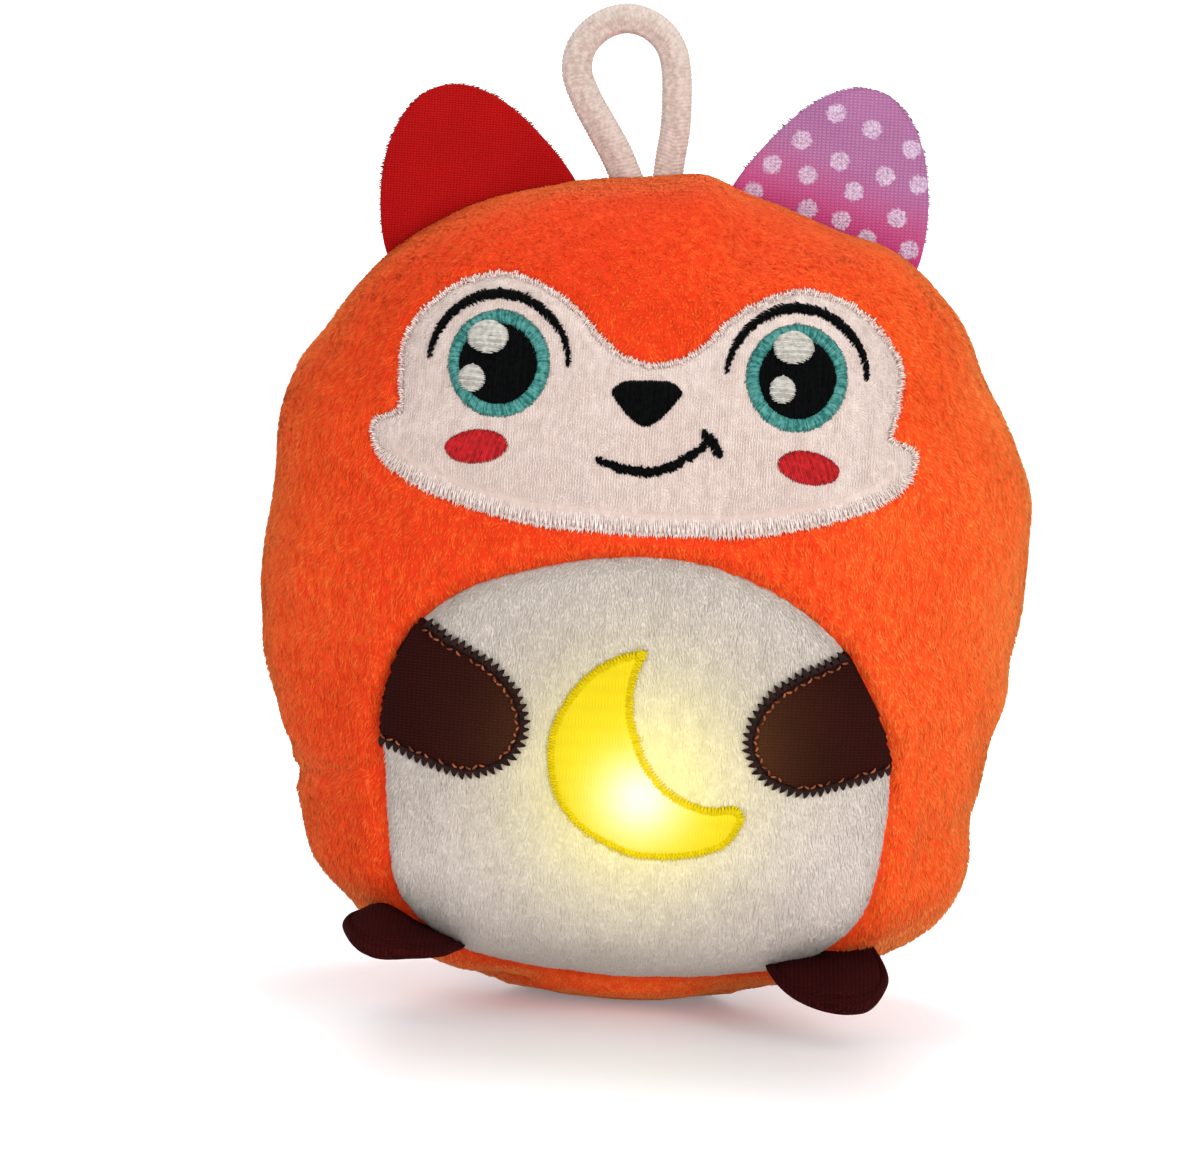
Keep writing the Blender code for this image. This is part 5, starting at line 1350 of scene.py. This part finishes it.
def foot(side, facing, root, front_edge):
    """A small pad on a slanting root, turned down towards its front edge. The root and the
    front edge are heights in millimetres, with their slopes, and the root's rise at its middle."""
    front, back, faces, s, r = local_pad(
        FOOT_HALF_WIDTH, FOOT_HEIGHT, 0.006, 0.0013, 0.0046, FOOT_POWER, 62
    )
    inwards = 1 - clamp(r) ** FOOT_POWER - (front[..., 0] / FOOT_HALF_WIDTH) ** 2
    groove = 0.00035 * bell(inwards, 0.24, 0.05) * (np.abs(s) < 0.97)
    spot, _ = on_skin(np.array(((facing * 34.3 - (1.4 if facing < 0 else 0.5), root[0]),)), 0)
    spot[0, 2] = 0
    turned = []
    for sheet, hem in ((front, 1), (back, -1)):
        outer = sheet[..., 0] * facing / FOOT_HALF_WIDTH
        across = sheet[..., 0] * (1 - 0.5 * clamp(outer) * clamp((0.45 - r) / 0.78) ** 1.5)
        puff = 0.3 * bell(outer, 0.25, 0.28) - 0.25 * clamp((outer - 0.55) / 0.4)
        proud = (sheet[..., 1] + hem * groove) * (1 - 0.45 * clamp(-outer) + puff)
        rise = bell(outer, 0.25, 0.45) - 1.3 * clamp(outer - 0.5)
        high = root[0] * MM + root[1] * across * facing + root[2] * rise * MM
        low = front_edge[0] * MM + front_edge[1] * across * facing
        slope = np.arctan2(high - low, FOOT_HEIGHT)
        y = -proud * np.sin(slope) - r * FOOT_HEIGHT * np.cos(slope)
        z = proud * np.cos(slope) + high * (1 - r) + low * r
        turned.append(np.stack((across, y, z), -1).reshape(-1, 3) + spot)
    made = piece(f"foot_{side}_cloth", *closed_sheet(*turned, faces), brown_foot)
    dressed(made, None, "brown_cloth", f"foot_{side}")
    hinged(made)


# The hang loop

CORD_SIDES = 40
KNOT_PITCH = 0.62


def hang_loop():
    """A knitted cord: two ribs with a groove between them, and a row of knots on each rib."""
    spots, along = resampled(smooth_path(LOOP, 14), 0.11)
    reach = reach_along(spots)
    across = leftwards(along)
    angle, s = np.meshgrid(np.arange(CORD_SIDES) * 2 * math.pi / CORD_SIDES, reach)
    face = np.abs(np.cos(angle + 0.55 * np.sin(s / 11.0 + 0.6)))
    on_rib = clamp((face - 0.75) / 0.25)
    knots = np.abs(np.sin((s / KNOT_PITCH) * math.pi)) ** 0.7 * on_rib
    loops = np.abs(np.sin((s / KNOT_PITCH + face * 1.1) * math.pi)) * (1 - on_rib)
    groove = bell(face, 0.12, 0.2)
    size = 2.36 + 0.22 * knots + 0.14 * loops - 0.3 * groove
    size = size * (1 + 0.1 * bell(s, 11, 10))
    aside, forward = size * np.cos(angle), size * np.sin(angle) * 0.9
    x, z = (spots[:, k : k + 1] + across[:, k : k + 1] * aside for k in range(2))
    # Painted shading in the tone: darker in the groove and on the loops, and painted highlights on
    # the knots.
    painted_shading = 0.7 - 0.35 * groove + 0.5 * knots - 0.3 * loops
    made = piece(
        "hang_loop_cord",
        np.stack((x, -forward, z), axis=-1).reshape(-1, 3) * MM,
        grid_faces(len(spots), CORD_SIDES, closed=True),
        cord_yarn,
        fields={"tone": painted_shading.ravel()},
    )
    dressed(made, None, "loop_cord", "hang_loop")
    hinged(made)


# The back


def flap_lift(flat):
    """The flap's height over the skin: it leaves room for both tapes below its hinge."""
    return CLOTH_GAP + clamp((FLAP[2] - flat[:, 1]) / 12) * 2 * (CLOTH_GAP + TAPE_THICK)


def back_flap():
    outline = rounded_box(*FLAP, FLAP_CORNER)
    flat, faces = mosaic(outline, 1.3)
    inwards = np.maximum(depth_in(flat, outline), 0)
    thick = rolled(inwards, 0, 1.5, 0.9) + 0.35 * clamp(inwards / 6)
    thick = thick - 0.5 * bell(inwards, 2.2, 0.5) + 0.1
    outer, normals = on_skin(flat, flap_lift(flat) + thick, front=False)
    sheet = closed_sheet(outer, outer - normals * (thick * MM)[:, None], faces[:, ::-1])

    def keep(roots):
        flat_roots = roots[:, (0, 2)] / MM
        places, normal = on_skin(flat_roots, 0, front=False)
        height = ((roots - places) * normal).sum(axis=1) / MM
        return height > flap_lift(flat_roots) + 0.45

    made = plush("back_flap_plush", sheet, orange, 60000, keep, 27, 0.92, 0.5)
    dressed(made, None, "orange_plush", "back_flap")
    hinged(made)


POUCH_MIDDLE = (0, 0.066)
POUCH_FLOOR = 0.0252


def pouch():
    """The cloth bag in the back: its walls, and a binding sewn down round its mouth."""
    rim, _ = resampled(rounded_box(18.75, 35.0, 97.0, 1.4), 0.8, True)
    around, _ = resampled(rounded_box(22.3, 31.6, 100.4, 4.0), None, True, len(rim))
    away = around[[int(np.argmin(np.linalg.norm(around - spot, axis=1))) for spot in rim]] - rim
    binding = ((1.0, -0.3), (1.0, 0.15), (0.85, 0.28), (0.5, 0.3), (0.15, 0.3), (0.0, 0.15))
    rings = [on_skin(rim + away * share, lift, front=False)[0] for share, lift in binding]
    mouth = rings[-1]
    for share in np.linspace(0.1, 1, 12):
        ring = mouth.copy()
        ring[:, 1] += (POUCH_FLOOR - mouth[:, 1]) * share
        ring[:, (0, 2)] += 0.00012 * waves(ring, 0.012, 81)[:, None]
        rings.append(ring)
    inner = rings[-1]
    for share in np.linspace(0.08, 1, 8):
        ring = np.full_like(inner, POUCH_FLOOR - 0.0001)
        ring[:, (0, 2)] = POUCH_MIDDLE + (inner[:, (0, 2)] - POUCH_MIDDLE) * (1 - share)
        rings.append(ring)
    points = np.stack([np.vstack((ring, ring[:1])) for ring in rings])
    faces = grid_faces(len(rings), len(rim) + 1)
    made = piece("battery_pouch_cloth", points.reshape(-1, 3), faces, lining)
    dressed(made, "toy", "lining_cloth", "battery_pouch")
    spots, along = resampled(rounded_box(20.6, 33.2, 98.8, 2.6), 1.6, True)
    share = np.linspace(0.1, 0.9, 5)[:, None]
    flats = [spot + way * 1.1 * share for spot, way in zip(spots, along, strict=True)]
    lifts = [0.3 + 0.25 * np.sin(math.pi * share[:, 0])] * len(flats)
    made = threads("battery_pouch_stitches", flats, lifts, 0.14, thread["border"], 0.7, False)
    dressed(made, "toy", "lining_cloth")


def tape(name, body, node, level, length, width, every, seed):
    """A strip of fastening tape on the back, with its hooks or loops."""
    flat, faces = mosaic(rounded_box(18.0, 27.5, 34.0, 0.5), 0.8)
    thick = TAPE_THICK * 0.6
    outer, normals = on_skin(flat, level + thick, front=False)
    vertices, sheet = closed_sheet(outer, outer - normals * thick * MM, faces[:, ::-1])
    x, z = np.meshgrid(np.arange(-17.6, 17.7, every), np.arange(27.9, 33.7, every))
    rng = np.random.default_rng(seed)
    spots = np.column_stack((x.ravel(), z.ravel())) + rng.normal(0, 0.06, (x.size, 2))
    roots, up = on_skin(spots, level + TAPE_THICK * 0.55, front=False)
    ways = unit(up + rng.normal(0, 0.3, up.shape))
    tuft = blades(roots, up, ways, length * MM, width * MM, seed)
    dressed(with_pile(name, vertices, sheet, tape_finish, tuft), body, "tape_nylon", node)


# The lamp, the battery box and the wires: dark and light colour, roughness and metal

SHADES = {
    "white_plastic": ((214, 214, 210), (234, 234, 230), 0.38, 0.0),
    "frosted_plastic": ((226, 224, 214), (242, 240, 232), 0.55, 0.0),
    "black_plastic": ((18, 18, 19), (34, 34, 36), 0.42, 0.0),
    "board_laminate": ((18, 74, 40), (28, 98, 54), 0.4, 0.0),
    "lens_resin": ((236, 226, 176), (250, 244, 212), 0.12, 0.0),
    "red_wire_coat": ((150, 18, 16), (186, 30, 26), 0.4, 0.0),
    "black_wire_coat": ((16, 16, 17), (30, 30, 32), 0.4, 0.0),
    "cell_sleeve": ((52, 56, 62), (78, 82, 88), 0.3, 0.0),
    "bright_steel": ((176, 176, 174), (214, 214, 212), 0.28, 1.0),
}


def dress_inside():
    """A finish for every plastic, metal and wire part that keeps its CAD shape."""
    made = {slot: moulded(f"{slot}_finish", *look) for slot, look in SHADES.items()}
    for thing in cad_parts.values():
        for held in thing.material_slots:
            slot = held.material.name if held.material else ""
            for key, finish in made.items():
                if slot.startswith(key):
                    held.material = finish


# The whole light


def build():
    for made in (orange_front(), orange_back()):
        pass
    orange_base()
    cream_belly()
    pink_face()
    filling()
    eye("left", -1, 0.05, (-1.7, 3.7), (-3.8, -2.8))
    eye("right", 1, 0.5, (-0.9, 4.3), (-2.3, -2.3))
    features()
    moon()
    paw("left", -1)
    paw("right", 1)
    ear("left", (-30.7, 0, 129.8), -22.8, 0.0227, red, "red_cloth", 1)
    ear("right", (26.8, 0, 131.5), 19.1, 0.0241, purple, "dotted_cloth", -1)
    foot("left", -1, (13.9, 0.24, 1.3), (11.0, 0.0))
    foot("right", 1, (12.4, 0.10, 0.0), (6.3, -0.22))
    hang_loop()
    back_flap()
    pouch()
    tape("hook_tape", "flap", "hook_strip", 1.2, 0.42, 0.14, 0.5, 91)
    tape("loop_tape", "toy", "loop_strip", 0.3, 0.3, 0.3, 0.42, 92)
    dress_inside()


build()


# The stage

FLOOR_FRONT, FLOOR_BACK, FLOOR_BEND = -1.2, 1.0, 0.8


def stage():
    """A white floor that curves up into a backdrop, and keeps the toy's shadow."""
    finish, tree, entries = new_finish("studio_white", 0.32, specular=0.3)
    shades = ((0.0, (0.86, 0.86, 0.87)), (1.0, (0.89, 0.89, 0.9)))
    feed(entries["Base Color"], ramp(noise(tree, 40, 2), shades))
    x, y, z = axes(tree)
    reach = (x**2 + y**2 + z**2) ** 0.5
    # Painted light for the camera that grows away from the toy: the floor whitens far off and stays
    # darker round the toy, where its shadow falls.
    far = ((reach - 0.09) * 4.0).clamped()
    feed(entries["Emission Color"], (1, 1, 1))
    feed(entries["Emission Strength"], seen_rays(tree) * (far * 0.7 + 0.18))
    level = np.linspace(FLOOR_FRONT, FLOOR_BACK, 12, endpoint=False)
    bend = arc(FLOOR_BACK, FLOOR_BEND, FLOOR_BEND, -90, 0, 13)
    rows = [*((y, 0.0) for y in level), *bend, (FLOOR_BACK + FLOOR_BEND, 2.4)]
    points = np.array([[(x, y, z) for x in np.linspace(-2, 2, 9)] for y, z in rows])
    piece("studio_floor", points.reshape(-1, 3), grid_faces(len(rows), 9), finish)


# Lights: place, the height that they face, size, power and colour
LIGHTS = {
    "key": ((0.75, -0.85, 0.42), 0.07, 0.5, 5.7, (1.0, 0.985, 0.97)),
    "fill": ((-0.8, -0.8, 0.35), 0.07, 0.6, 4.9, (0.98, 0.99, 1.0)),
    "low": ((0.3, -1.0, 0.05), 0.0, 0.5, 5.2, (1, 1, 1)),
    "back": ((0.0, 0.3, 1.05), 0.07, 0.5, 5.2, (1, 1, 1)),
}


def light(name, place, aim, size, power, tint):
    data = bpy.data.lights.new(name, "AREA")
    data.shape = "DISK"
    data.size = size
    data.energy = power
    data.color = tint
    made = placed(name, data)
    made.location = place
    way = Vector((0, 0, aim)) - Vector(place)
    made.rotation_euler = way.to_track_quat("-Z", "Y").to_euler()


def studio():
    stage()
    world = bpy.data.worlds.new("studio_world")
    world.use_nodes = True
    entries = world.node_tree.nodes["Background"].inputs
    feed(entries["Color"], (1, 1, 1))
    feed(entries["Strength"], seen_rays(world.node_tree) * 0.45 + 0.55)
    bpy.context.scene.world = world
    for name, facts in LIGHTS.items():
        light(name, *facts)


# The camera: how far off it is, in metres, and the photograph's width and focal length, in pixels
CAMERA_AWAY = 0.75
CAMERA_AIM = 0.0689
CAMERA_RISE, CAMERA_ROLL = math.radians(4), math.radians(3.4)
PHOTO_WIDTH, PHOTO_FOCUS = 1200, 4464
PHOTO_SHIFT = (-43, 2.5)


def camera():
    data = bpy.data.cameras.new("camera")
    data.sensor_width = 36
    data.lens = data.sensor_width * PHOTO_FOCUS / PHOTO_WIDTH
    data.shift_x, data.shift_y = (shift / PHOTO_WIDTH for shift in PHOTO_SHIFT)
    data.clip_start = 0.01
    made = placed("camera", data)
    away = Vector((0, -math.cos(CAMERA_RISE), math.sin(CAMERA_RISE))) * CAMERA_AWAY
    look = Matrix.Rotation(math.pi / 2 - CAMERA_RISE, 4, "X") @ Matrix.Rotation(CAMERA_ROLL, 4, "Z")
    made.matrix_world = Matrix.Translation(Vector((0, 0, CAMERA_AIM)) + away) @ look
    bpy.context.scene.camera = made


studio()
camera()
bpy.context.scene.view_settings.view_transform = "Standard"
